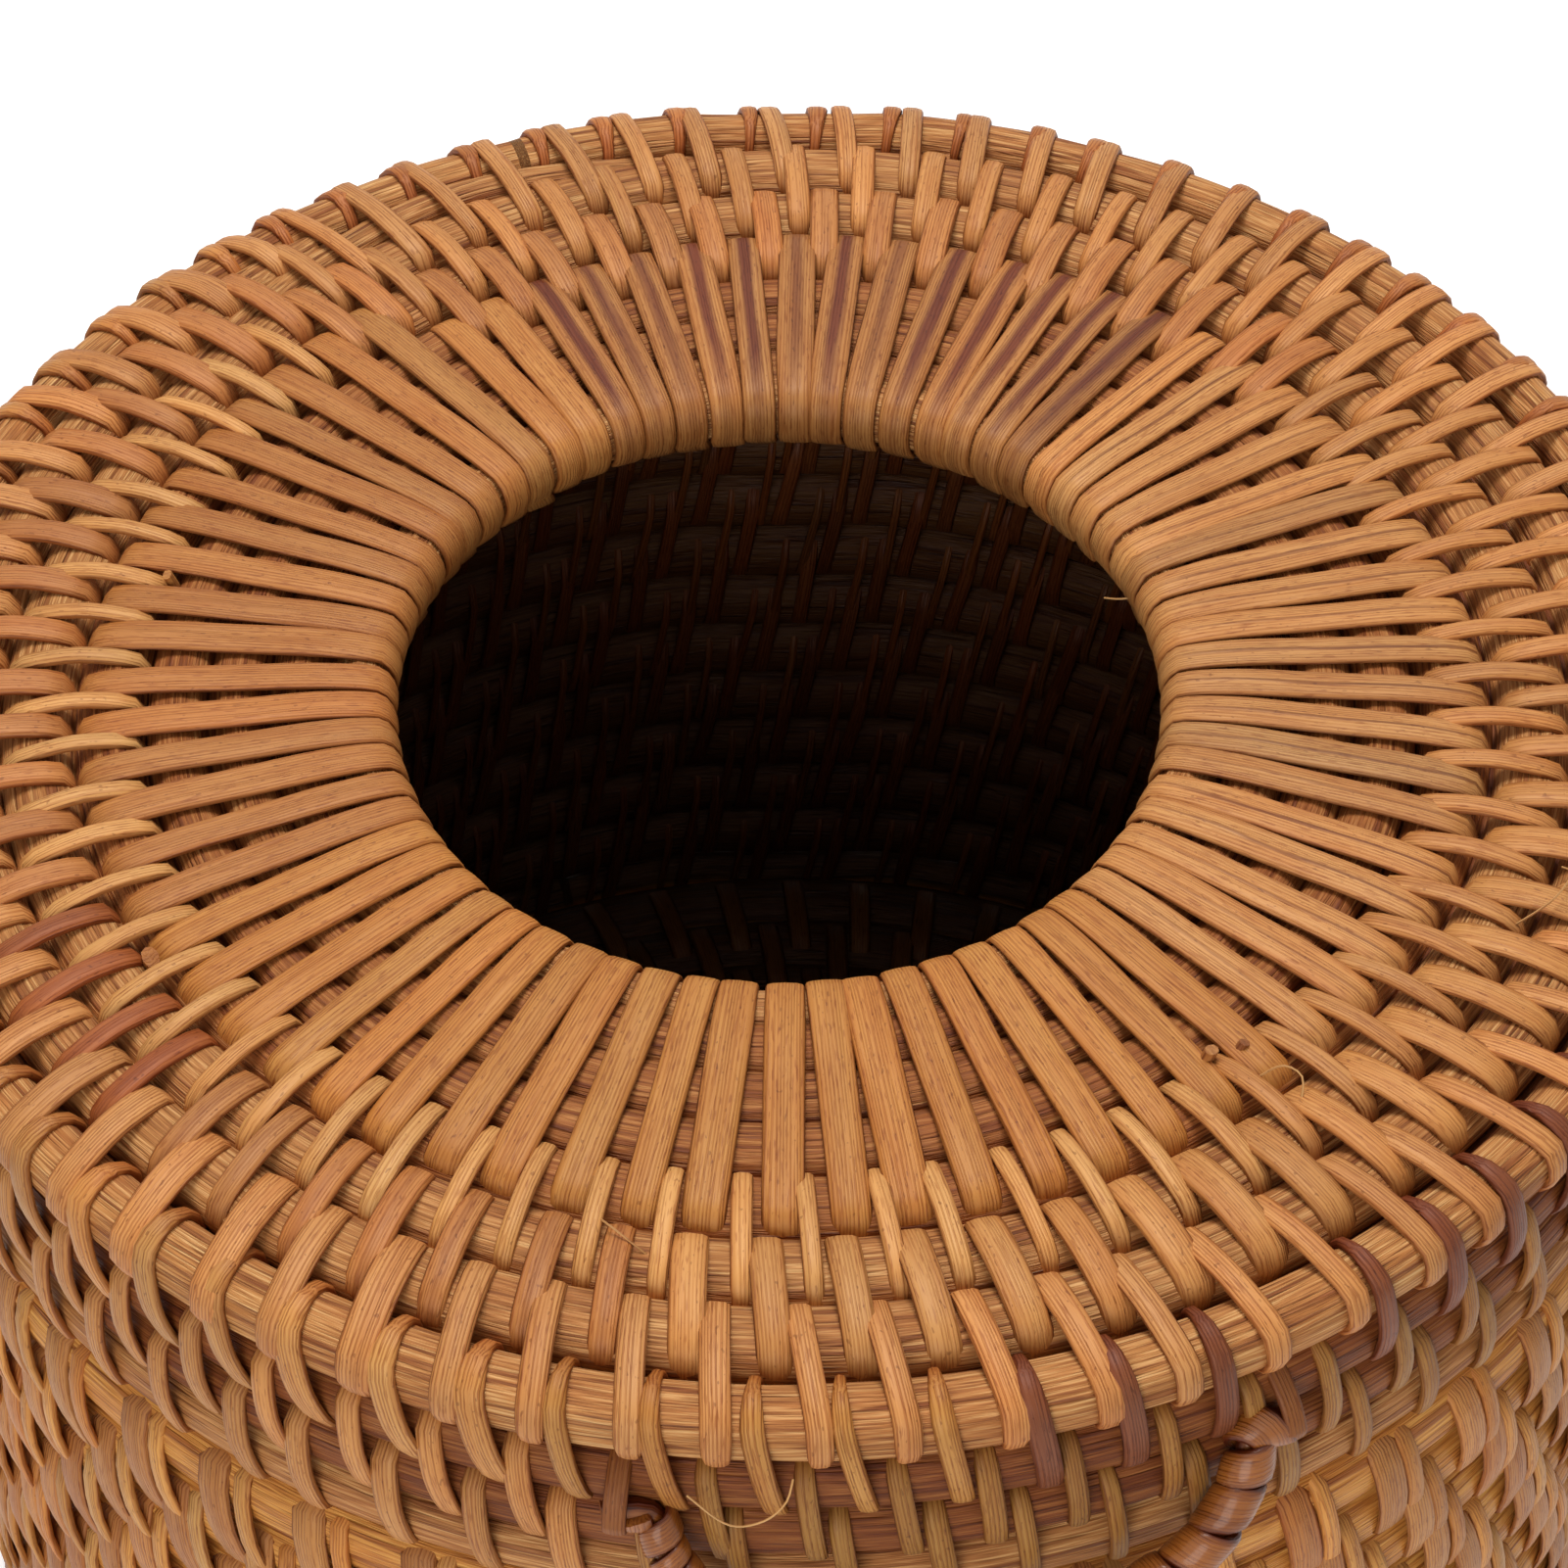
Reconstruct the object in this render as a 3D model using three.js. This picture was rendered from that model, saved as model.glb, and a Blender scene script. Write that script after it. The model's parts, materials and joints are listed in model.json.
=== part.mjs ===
// A round tissue box of coiled rattan: a stitched box, a hinged lid with a bound opening, and a
// wound cane loop at the front of the lid. Millimetres, +Z up, standing on z = 0, front on -Y.
import * as THREE from 'three';

// The box as a whole. Angles are in degrees, from the front, positive towards +X.
const BOX_HEIGHT = 100;
const WALL_RADIUS = 70; // to the middle of the wall's rods
const LID_SEAT = 1.3; // between the lid's edge rod and the box's, for the strips round both
const LID_STEP_ANGLE = 217.5; // where each row of the lid runs on into the next
const BOX_STEP_ANGLE = 112.5;
const JOG = 0.14; // half of the stretch in which a row steps to the next, as a share of a turn

// Peeled rattan rods, by diameter, and the split cane strips that bind them.
const WALL_ROD = 5;
const BASE_ROD = 4.7;
const RIM_ROD = 4.9;
const SKIRT_ROD = 4.2;
const TOP_ROD = 4.5;
const BOUND_ROD = 3.4;
const OPENING_ROD = 3.6;
const STRIP_WIDTH = 3.1;
const STRIP_THICKNESS = 0.6;
const SEAT_GAP = 0.3; // between pieces that touch
const TOP_ROW_GAP = 1.4; // between the rods of the lid's top
const BASE_ROW_GAP = 1.2;
const ROD_TIP = 1; // a rod's shaved end
const RIM_DROP = 0.25; // how far the rim lies under the other rods of the top

// The lid.
const SKIRT_ROWS = 2; // between the rim rod and the edge rod
const OPEN_ROWS = 2; // rows of the top that the binding leaves bare
const OPENING_RADIUS = 30; // inside the binding
const BINDING_TURNS = 70;
const BINDING_GAP = 0.45; // between two turns where they are closest
const BINDING_BEND = 1.5;
const BASE_KNOT_RADIUS = 6;

// The hinge at the back: two strip rings round the lid's edge rod and the box's.
const HINGE_SPREAD = 12.4;
const RING_WIDTH = 2.4;

// The loop at the front, which hangs from two ties on the row under the rim.
const LOOP_ANGLE = 9.25;
const LOOP_HALF_ANGLE = 18.7;
const LOOP_DROP = 1.45; // of its hinge line, under the middle of that row
const LOOP_SAG = 12.5;
const LOOP_CORE = 1.9;
const LOOP_END_LENGTH = 2.3; // beyond the middle of a tie
const LOOP_END_SWELL = 0.55;
const LOOP_STANDOFF = 1.5; // from the box's rods, for the strips round them
const LOOP_BEND = 1.5; // where each end turns down
const LOOP_RISE = 9; // the drop in which it comes out to its full distance
const TIE_WIDTH = 2;
const WRAP_WIDTH = 2.9;
const WRAP_PITCH = 3.5;

// A rod has six sides, with corners a little outside its round section so that its bulk is right.
const ROD_SIDES = 6;
const CORNER_FACTOR = 1.05;
const FLAT_FACTOR = CORNER_FACTOR * Math.cos(Math.PI / ROD_SIDES);
const TURN_STEPS = 24;
const INNER_TURN_STEPS = 16;
const BINDING_STEPS = 8;
const LOOP_STEPS = 48;
const LOOP_SIDES = 8;
const WRAP_STEPS = 12;
const STITCH_ROOM = STRIP_THICKNESS + 2 * SEAT_GAP;
const STRIP_SEAT = SEAT_GAP + STRIP_THICKNESS / 2; // from a surface to a strip's middle

const GOLDEN_ROD = { color: 0xb98245, roughness: 0.62 };
const TAN_ROD = { color: 0xb08050, roughness: 0.72 };
const RIM_CANE = { color: 0xc29662, roughness: 0.78 };
const SPLIT_CANE = { color: 0xd0a068, roughness: 0.55 };
const DARK_CANE = { color: 0x7a4520, roughness: 0.35 };
const HINGE_CANE = { color: 0x9c6632, roughness: 0.5 };

const box = new THREE.Group();
box.name = 'rattan_tissue_box';

function radians(degrees) {
  return THREE.MathUtils.degToRad(degrees);
}

function polar(angle, radius, z) {
  const turn = radians(angle);
  return new THREE.Vector3(radius * Math.sin(turn), -radius * Math.cos(turn), z);
}

function smoothRise(share) {
  return THREE.MathUtils.smoothstep(share, 0, 1);
}

// A closed skin through sections with the same number of corners, with flat ends unless it closes.
function skin(sections, closes) {
  const corners = sections[0].length;
  const spans = closes ? sections.length : sections.length - 1;
  const index = [];
  for (let i = 0; i < spans; i += 1) {
    const near = i * corners;
    const far = ((i + 1) % sections.length) * corners;
    for (let j = 0; j < corners; j += 1) {
      const next = (j + 1) % corners;
      index.push(near + j, far + j, far + next);
      index.push(near + j, far + next, near + next);
    }
  }
  if (!closes) {
    const last = spans * corners;
    for (let j = 1; j < corners - 1; j += 1) {
      index.push(0, j, j + 1);
      index.push(last, last + j + 1, last + j);
    }
  }
  const points = sections.flat();
  if (signedVolume(points, index) < 0) {
    index.reverse();
  }
  const geometry = new THREE.BufferGeometry();
  geometry.setAttribute('position', new THREE.Float32BufferAttribute(points.flatMap((p) => p.toArray()), 3));
  geometry.setIndex(index);
  geometry.computeVertexNormals();
  return geometry;
}

function signedVolume(points, index) {
  let sixfold = 0;
  for (let i = 0; i < index.length; i += 3) {
    const [a, b, c] = [points[index[i]], points[index[i + 1]], points[index[i + 2]]];
    sixfold += a.dot(b.clone().cross(c));
  }
  return sixfold / 6;
}

function addPiece(name, geometry, look) {
  const piece = new THREE.Mesh(geometry, new THREE.MeshStandardMaterial(look));
  piece.name = name;
  box.add(piece);
}

// A wound piece is one unbroken length. The least distance between its turns is printed.
function addWound(name, sections, stepsPerTurn, look) {
  let least = Infinity;
  sections.forEach((section, i) => {
    for (const later of sections.slice(i + Math.ceil(stepsPerTurn / 2) + 1)) {
      for (const point of section) {
        later.forEach((other) => {
          least = Math.min(least, point.distanceTo(other));
        });
      }
    }
  });
  console.log(`${name}: least gap to itself ${least.toFixed(2)} mm`);
  addPiece(name, skin(sections, false), look);
}

// The six corners of a rod where it crosses the half-plane at an angle round the box.
function rodSection(angle, radius, z, diameter) {
  const reach = (CORNER_FACTOR * diameter) / 2;
  return Array.from({ length: ROD_SIDES }, (_, k) => {
    const corner = (k * 2 * Math.PI) / ROD_SIDES;
    return polar(angle, radius + reach * Math.cos(corner), z + reach * Math.sin(corner));
  });
}

function addRing(name, radius, z, diameter, look) {
  const sections = [];
  for (let i = 0; i < TURN_STEPS; i += 1) {
    sections.push(rodSection(LID_STEP_ANGLE + (i * 360) / TURN_STEPS, radius, z, diameter));
  }
  addPiece(name, skin(sections, true), look);
}

// A coil's rows are level except near the step, where each runs on into the next. This gives the
// row that a coil has reached after some turns: 0.5, 1.5 and so on along the level stretches.
function rowAfter(turns) {
  const step = Math.round(turns);
  const share = THREE.MathUtils.clamp((turns - step) / JOG, -1, 1);
  return step + 0.5 * Math.sin((share * Math.PI) / 2);
}

// A coiled rod from one number of turns to another. Its path gives the radius, height and diameter
// at a row, and its angle runs from the step, one way round or the other.
function addCoil(name, coil, fromTurn, toTurn, look) {
  const sections = [];
  const steps = Math.round((toTurn - fromTurn) * coil.turnSteps);
  for (let i = 0; i <= steps; i += 1) {
    const turns = THREE.MathUtils.lerp(fromTurn, toTurn, i / steps);
    const { radius, z, diameter } = coil.path(rowAfter(turns));
    sections.push(rodSection(coil.stepAngle + coil.way * 360 * turns, radius, z, diameter));
  }
  addWound(name, sections, coil.turnSteps, look);
}

// A coiled rod is shaved thin where it starts or ends against the rod beside it.
function shaved(diameter, room) {
  return THREE.MathUtils.clamp(2 * (room - SEAT_GAP), ROD_TIP, diameter);
}

// Where a coil's straight facet lies at an angle between two of its corners.
function facetRadius(turns, radiusAt, turnSteps) {
  const step = Math.floor(turns * turnSteps + 1e-6);
  const near = radiusAt(step / turnSteps);
  const far = radiusAt((step + 1) / turnSteps);
  const whole = radians(360 / turnSteps);
  const part = radians((turns - step / turnSteps) * 360);
  return (near * far * Math.sin(whole)) / (near * Math.sin(part) + far * Math.sin(whole - part));
}

// Heights of the lid's rows, from the top down.
const rodsTop = BOX_HEIGHT - STRIP_THICKNESS - SEAT_GAP;
const rimZ = rodsTop - RIM_DROP - RIM_ROD / 2;
const skirtPitch = SKIRT_ROD + STITCH_ROOM;
const firstSkirtZ = rimZ - (RIM_ROD + SKIRT_ROD) / 2 - STITCH_ROOM;
const lidEdgeZ = firstSkirtZ - SKIRT_ROWS * skirtPitch;

addRing('lid_rim_rod', WALL_RADIUS, rimZ, RIM_ROD, RIM_CANE);
addRing('lid_edge_rod', WALL_RADIUS, lidEdgeZ, SKIRT_ROD, TAN_ROD);

const skirtCoil = {
  stepAngle: LID_STEP_ANGLE,
  way: -1,
  turnSteps: TURN_STEPS,
  path(row) {
    const z = firstSkirtZ - (row - 0.5) * skirtPitch;
    const underRim = rimZ - RIM_ROD / 2 - z;
    const overEdge = z - lidEdgeZ - SKIRT_ROD / 2;
    return { radius: WALL_RADIUS, z, diameter: shaved(SKIRT_ROD, Math.min(underRim, overEdge)) };
  },
};
addCoil('lid_skirt_coil', skirtCoil, 0, SKIRT_ROWS, TAN_ROD);

// The top: a spiral rod inwards from the rim, and a thinner one spliced to it under the binding.
const topPitch = TOP_ROD + TOP_ROW_GAP;
const topStartRadius = WALL_RADIUS - (RIM_ROD + TOP_ROD) / 2 - TOP_ROW_GAP + topPitch / 2;
const boundRow = OPEN_ROWS + 1; // rows at full thickness, with the first one under the binding
const openingRodRadius = OPENING_RADIUS + STRIP_THICKNESS + SEAT_GAP + (CORNER_FACTOR * OPENING_ROD) / 2;
const boundSpan = topStartRadius - boundRow * topPitch - openingRodRadius;
const innerTurns = Math.max(0, Math.floor(boundSpan / (BOUND_ROD + 1) - 0.5));
const innerPitch = boundSpan / (innerTurns + 0.5);

const topCoil = {
  stepAngle: LID_STEP_ANGLE,
  way: 1,
  turnSteps: TURN_STEPS,
  path(row) {
    const outer = Math.min(row, boundRow);
    const radius = topStartRadius - outer * topPitch - (row - outer) * innerPitch;
    const fromRim = WALL_RADIUS - RIM_ROD / 2 - radius;
    const fromOpening = radius - openingRodRadius - OPENING_ROD / 2;
    const thinning = THREE.MathUtils.clamp(2 * (row - boundRow + 0.5), 0, 1);
    const full = THREE.MathUtils.lerp(TOP_ROD, BOUND_ROD, thinning);
    const diameter = shaved(full, Math.min(fromRim, fromOpening));
    return { radius, z: rodsTop - (FLAT_FACTOR * diameter) / 2, diameter };
  },
};
const spliceTurns = SEAT_GAP / (2 * Math.PI * topCoil.path(OPEN_ROWS).radius);
addCoil('lid_row_coil', topCoil, 0, OPEN_ROWS, TAN_ROD);
addCoil('lid_bound_coil', topCoil, OPEN_ROWS + spliceTurns, boundRow + innerTurns, TAN_ROD);

const openingRodZ = rodsTop - (FLAT_FACTOR * OPENING_ROD) / 2;
addRing('opening_rod', openingRodRadius, openingRodZ, OPENING_ROD, TAN_ROD);

// The binding of the opening: one split strip, wound round the inner rods of the lid turn by turn.
// A turn runs inwards over the top, down inside the opening, out again below and up between the
// bound rods and the bare ones.
function bindingTurnPoints(turn) {
  const share = (turn + 0.5) / BINDING_TURNS;
  const radiusAt = (turns) => topCoil.path(rowAfter(turns)).radius + topPitch / 2;
  const outside = facetRadius(OPEN_ROWS + share, radiusAt, TURN_STEPS);
  const openingFace = () => openingRodRadius - (CORNER_FACTOR * OPENING_ROD) / 2;
  const inside = facetRadius(share, openingFace, TURN_STEPS) - STRIP_SEAT;
  const top = BOX_HEIGHT - STRIP_THICKNESS / 2;
  const under = rodsTop - FLAT_FACTOR * TOP_ROD - STRIP_SEAT;
  return [
    [outside, top - BINDING_BEND],
    [outside - BINDING_BEND, top],
    [inside + BINDING_BEND, top],
    [inside, top - BINDING_BEND],
    [inside, under + BINDING_BEND],
    [inside + BINDING_BEND, under],
    [outside - BINDING_BEND, under],
    [outside, under + BINDING_BEND],
  ];
}

// Each turn crosses to the next on its last two points. The strip starts low on the outside and is
// tucked in where it has come round under the opening's edge.
function bindingSections() {
  const facings = [22.5, 67.5, 112.5, 157.5, 202.5, 247.5, 292.5, 337.5].map(radians);
  const pitch = 360 / BINDING_TURNS;
  const sections = [];
  const addPoint = (turn, k) => {
    const angle = LID_STEP_ANGLE + (turn + 0.5) * pitch;
    sections.push(stripSection(angle, bindingTurnPoints(turn)[k], facings[k]));
  };
  addPoint(0, 7);
  for (let turn = 0; turn < BINDING_TURNS; turn += 1) {
    [0, 1, 2, 3, 4, 5].forEach((k) => addPoint(turn, k));
    if (turn < BINDING_TURNS - 1) {
      addPoint(turn + 1, 6);
      addPoint(turn + 1, 7);
    }
  }
  return sections;
}

// The four corners of a flat strip that crosses the half-plane at an angle, facing outwards in it.
function stripSection(angle, [radius, z], facing) {
  const width = Math.min(STRIP_WIDTH, (2 * Math.PI * radius) / BINDING_TURNS - BINDING_GAP);
  const across = polar(angle + 90, width / 2, 0);
  const half = STRIP_THICKNESS / 2;
  const outer = polar(angle, radius + half * Math.cos(facing), z + half * Math.sin(facing));
  const inner = polar(angle, radius - half * Math.cos(facing), z - half * Math.sin(facing));
  return [
    outer.clone().add(across),
    outer.clone().sub(across),
    inner.clone().sub(across),
    inner.clone().add(across),
  ];
}
addWound('opening_binding', bindingSections(), BINDING_STEPS, SPLIT_CANE);

// The box's wall: a foot rod, a coiled rod in three lengths and an edge rod under the lid.
const boxEdgeZ = lidEdgeZ - SKIRT_ROD / 2 - LID_SEAT - WALL_ROD / 2;
const footZ = (FLAT_FACTOR * WALL_ROD) / 2;
const wallRows = Math.floor((boxEdgeZ - footZ) / (WALL_ROD + STITCH_ROOM)) - 1;
const wallPitch = (boxEdgeZ - footZ) / (wallRows + 1);

addRing('foot_rod', WALL_RADIUS, footZ, WALL_ROD, GOLDEN_ROD);
addRing('box_edge_rod', WALL_RADIUS, boxEdgeZ, WALL_ROD, GOLDEN_ROD);

const wallCoil = {
  stepAngle: BOX_STEP_ANGLE,
  way: -1,
  turnSteps: TURN_STEPS,
  path(row) {
    const z = boxEdgeZ - (row + 0.5) * wallPitch;
    const underEdge = boxEdgeZ - z - WALL_ROD / 2;
    const overFoot = z - footZ - WALL_ROD / 2;
    return { radius: WALL_RADIUS, z, diameter: shaved(WALL_ROD, Math.min(underEdge, overFoot)) };
  },
};
const wallNames = ['upper', 'middle', 'lower'];
const wallSplice = SEAT_GAP / (2 * Math.PI * WALL_RADIUS);
wallNames.forEach((part, k) => {
  const from = Math.round((wallRows * k) / wallNames.length);
  const to = Math.round((wallRows * (k + 1)) / wallNames.length);
  addCoil(`wall_coil_${part}`, wallCoil, k === 0 ? from : from + wallSplice, to, GOLDEN_ROD);
});

// The base: a spiral rod in two lengths, from the foot rod in to the knot that it was started on.
const baseStart = WALL_RADIUS - (WALL_ROD + BASE_ROD) / 2 - BASE_ROW_GAP;
const baseEnd = BASE_KNOT_RADIUS + SEAT_GAP + ROD_TIP / 2;
const baseRows = Math.floor((baseStart - baseEnd) / (BASE_ROD + BASE_ROW_GAP) + 0.5);
const basePitch = (baseStart - baseEnd) / (baseRows - 0.5);
const outerBaseRows = Math.ceil(baseRows / 2);

function baseCoil(turnSteps) {
  return {
    stepAngle: BOX_STEP_ANGLE,
    way: -1,
    turnSteps,
    path(row) {
      const radius = baseStart - (row - 0.5) * basePitch;
      const fromFoot = WALL_RADIUS - WALL_ROD / 2 - radius;
      const fromKnot = radius - BASE_KNOT_RADIUS;
      const diameter = shaved(BASE_ROD, Math.min(fromFoot, fromKnot));
      return { radius, z: (FLAT_FACTOR * diameter) / 2, diameter };
    },
  };
}
const baseSplice = SEAT_GAP / (2 * Math.PI * (baseStart - outerBaseRows * basePitch));
addCoil('base_coil_outer', baseCoil(TURN_STEPS), 0, outerBaseRows, GOLDEN_ROD);
addCoil('base_coil_inner', baseCoil(INNER_TURN_STEPS), outerBaseRows + baseSplice, baseRows, GOLDEN_ROD);

const knotHeight = FLAT_FACTOR * BASE_ROD;
const knotOutline = [
  [0, 0],
  [BASE_KNOT_RADIUS, 0],
  [BASE_KNOT_RADIUS, knotHeight / 2],
  [BASE_KNOT_RADIUS * 0.75, knotHeight],
  [0, knotHeight],
].map(([radius, z]) => new THREE.Vector2(radius, z));
const knot = new THREE.LatheGeometry(knotOutline, INNER_TURN_STEPS);
knot.rotateX(Math.PI / 2);
addPiece('base_start_knot', knot, GOLDEN_ROD);

// A flat strip closed round two round things that lie side by side, as a ring drawn tight. Each
// is a centre in the ring's plane and the radius of the strip's middle round it.
function ringSections(first, second, arcSteps, width, toSpace) {
  const apart = second.centre.clone().sub(first.centre);
  const heading = apart.angle();
  const lean = Math.acos((first.radius - second.radius) / apart.length());
  const sections = [];
  const addArc = (round, from, to) => {
    for (let i = 0; i <= arcSteps; i += 1) {
      const facing = THREE.MathUtils.lerp(from, to, i / arcSteps);
      const out = new THREE.Vector2(Math.cos(facing), Math.sin(facing));
      const corner = (side, depth) => {
        const flat = round.centre.clone().addScaledVector(out, round.radius + depth);
        return toSpace(flat, side);
      };
      const half = STRIP_THICKNESS / 2;
      sections.push([
        corner(width / 2, half),
        corner(-width / 2, half),
        corner(-width / 2, -half),
        corner(width / 2, -half),
      ]);
    }
  };
  addArc(second, heading - lean, heading + lean);
  addArc(first, heading + lean, heading + 2 * Math.PI - lean);
  return sections;
}

// The hinge rings lie at the back, where the rods run straight for one step of their turn.
const hingeY = WALL_RADIUS * Math.cos(Math.PI / TURN_STEPS);
const lidRound = {
  centre: new THREE.Vector2(hingeY, lidEdgeZ),
  radius: (CORNER_FACTOR * SKIRT_ROD) / 2 + STRIP_SEAT,
};
const boxRound = {
  centre: new THREE.Vector2(hingeY, boxEdgeZ),
  radius: (CORNER_FACTOR * WALL_ROD) / 2 + STRIP_SEAT,
};
const hingeSides = { left: -1, right: 1 };
Object.entries(hingeSides).forEach(([side, sign]) => {
  const middle = (sign * HINGE_SPREAD) / 2;
  const toSpace = (flat, across) => new THREE.Vector3(middle + across, flat.x, flat.y);
  addPiece(`hinge_ring_${side}`, skin(ringSections(lidRound, boxRound, 7, RING_WIDTH, toSpace), true), HINGE_CANE);
});

// The loop turns about the straight line through its two ties.
const tieReach = (CORNER_FACTOR * SKIRT_ROD + LOOP_CORE) / 2 + SEAT_GAP;
const tieRadius = WALL_RADIUS + Math.sqrt(tieReach ** 2 - LOOP_DROP ** 2);
const loopHingeZ = firstSkirtZ - LOOP_DROP;
const chordDistance = tieRadius * Math.cos(radians(LOOP_HALF_ANGLE));
const tiePlace = tieRadius * Math.sin(radians(LOOP_HALF_ANGLE));
const loopReach = tiePlace + LOOP_END_LENGTH;
const wrapOuter = LOOP_CORE / 2 + SEAT_GAP + STRIP_THICKNESS;
const loopRadius = WALL_RADIUS + (CORNER_FACTOR * WALL_ROD) / 2 + LOOP_STANDOFF + wrapOuter;
const legPlace = tiePlace - TIE_WIDTH / 2 - SEAT_GAP - LOOP_BEND;

// The loop laid flat: along the hinge line, and down from it.
const loopOutline = new THREE.Path();
loopOutline.moveTo(-loopReach, 0);
loopOutline.lineTo(-legPlace - LOOP_BEND, 0);
loopOutline.absarc(-legPlace - LOOP_BEND, LOOP_BEND, LOOP_BEND, -Math.PI / 2, 0, false);
loopOutline.absellipse(0, LOOP_BEND, legPlace, LOOP_SAG - LOOP_BEND, Math.PI, 0, true);
loopOutline.absarc(legPlace + LOOP_BEND, LOOP_BEND, LOOP_BEND, Math.PI, 1.5 * Math.PI, false);
loopOutline.lineTo(loopReach, 0);

// The loop's middle line in space, which comes out of the groove between two rows as it drops.
class LoopLine extends THREE.Curve {
  getPoint(share, target = new THREE.Vector3()) {
    const { x: along, y: down } = loopOutline.getPointAt(share);
    const out = Math.sqrt(loopRadius ** 2 - along ** 2) - chordDistance;
    const partOut = Math.sin((Math.min(1, down / LOOP_RISE) * Math.PI) / 2);
    target.copy(polar(LOOP_ANGLE, chordDistance + out * partOut, loopHingeZ - down));
    return target.add(polar(LOOP_ANGLE + 90, along, 0));
  }
}
const loopLine = new LoopLine();
const loopLength = loopLine.getLength();

// A place along the loop, with two directions square to it. One leans outwards all the way, so
// that the frames don't twist.
function loopFrame(share) {
  const heading = loopLine.getTangentAt(share);
  const side = polar(LOOP_ANGLE, 1, 0).projectOnPlane(heading).normalize();
  return { centre: loopLine.getPointAt(share), side, up: heading.clone().cross(side) };
}

function besideLoop(share, turn, distance) {
  const { centre, side, up } = loopFrame(share);
  return centre
    .addScaledVector(side, distance * Math.cos(turn))
    .addScaledVector(up, distance * Math.sin(turn));
}

function evenShares(from, to, count) {
  return Array.from({ length: count + 1 }, (_, i) => THREE.MathUtils.lerp(from, to, i / count));
}

// The core, which swells a little at both ends, beyond the ties.
function loopCoreSections() {
  const end = (LOOP_END_LENGTH - TIE_WIDTH / 2 - SEAT_GAP) / loopLength;
  const shares = [0, end / 2, ...evenShares(end, 1 - end, LOOP_STEPS), 1 - end / 2, 1];
  return shares.map((share) => {
    const swell = LOOP_END_SWELL * (1 - smoothRise(Math.min(share, 1 - share) / end));
    return Array.from({ length: LOOP_SIDES }, (_, k) => {
      return besideLoop(share, (k * 2 * Math.PI) / LOOP_SIDES, LOOP_CORE / 2 + swell);
    });
  });
}
addPiece('loop_core', skin(loopCoreSections(), false), DARK_CANE);

// The wrap of the loop: one flat strip wound round the core between its bends, and bent with it.
function loopWrapSections() {
  const bare = (loopReach - legPlace + LOOP_BEND + WRAP_WIDTH) / loopLength;
  const turns = Math.floor(((1 - 2 * bare) * loopLength) / WRAP_PITCH);
  const halfWidth = WRAP_WIDTH / 2 / loopLength;
  const inner = LOOP_CORE / 2 + SEAT_GAP;
  return evenShares(bare, 1 - bare, turns * WRAP_STEPS).map((share, i) => {
    const turn = (2 * Math.PI * i) / WRAP_STEPS;
    return [
      besideLoop(share + halfWidth, turn, inner + STRIP_THICKNESS),
      besideLoop(share - halfWidth, turn, inner + STRIP_THICKNESS),
      besideLoop(share - halfWidth, turn, inner),
      besideLoop(share + halfWidth, turn, inner),
    ];
  });
}
addWound('loop_wrap', loopWrapSections(), WRAP_STEPS, DARK_CANE);

// The ties: a strip ring at each end of the loop, round its core and the row under the rim.
const tieSides = { left: -1, right: 1 };
Object.entries(tieSides).forEach(([side, sign]) => {
  const angle = LOOP_ANGLE + sign * LOOP_HALF_ANGLE;
  const turns = (LID_STEP_ANGLE - angle) / 360;
  const rodRadius = facetRadius(turns, () => WALL_RADIUS, TURN_STEPS);
  const rod = {
    centre: new THREE.Vector2(rodRadius, firstSkirtZ),
    radius: (CORNER_FACTOR * SKIRT_ROD) / 2 + STRIP_SEAT,
  };
  const core = {
    centre: new THREE.Vector2(tieRadius, loopHingeZ),
    radius: LOOP_CORE / 2 + STRIP_SEAT,
  };
  const toSpace = (flat, across) => polar(angle, flat.x, flat.y).add(polar(angle + 90, across, 0));
  addPiece(`loop_tie_${side}`, skin(ringSections(rod, core, 6, TIE_WIDTH, toSpace), true), DARK_CANE);
});

export default box;
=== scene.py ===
import json
import math

import bpy
import numpy as np
from mathutils import Matrix, Vector


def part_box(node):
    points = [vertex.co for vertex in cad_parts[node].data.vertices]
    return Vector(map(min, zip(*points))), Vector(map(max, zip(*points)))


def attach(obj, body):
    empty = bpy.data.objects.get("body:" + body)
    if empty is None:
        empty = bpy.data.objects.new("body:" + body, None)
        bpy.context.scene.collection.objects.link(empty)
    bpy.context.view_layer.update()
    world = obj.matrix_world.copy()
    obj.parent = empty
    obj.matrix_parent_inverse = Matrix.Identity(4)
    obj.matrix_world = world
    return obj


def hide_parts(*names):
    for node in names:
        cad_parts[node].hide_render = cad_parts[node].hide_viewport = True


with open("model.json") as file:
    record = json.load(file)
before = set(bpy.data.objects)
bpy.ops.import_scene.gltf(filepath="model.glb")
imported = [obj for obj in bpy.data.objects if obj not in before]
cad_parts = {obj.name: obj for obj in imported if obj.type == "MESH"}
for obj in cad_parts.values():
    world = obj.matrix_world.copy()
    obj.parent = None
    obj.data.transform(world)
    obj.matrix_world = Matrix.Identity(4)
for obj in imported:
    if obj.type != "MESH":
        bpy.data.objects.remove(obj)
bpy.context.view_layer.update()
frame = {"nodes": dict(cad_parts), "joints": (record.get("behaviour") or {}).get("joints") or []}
MM = 0.001


# The camera stands above the front and looks down into the opening at about 46 degrees, as the
# photograph was taken, from 360 mm away with a long lens. The frame crops the box at the sides.
CAMERA_DISTANCE = 360 * MM
CAMERA_TARGET = Vector((-0.39 * MM, 0, 86.1 * MM))
CAMERA_RISE = math.radians(45.89)
CAMERA_ROLL = math.radians(-0.26)
SENSOR_WIDTH = 36
IMAGE_WIDTH = 1601
FOCAL_PIXELS = 4601

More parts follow.
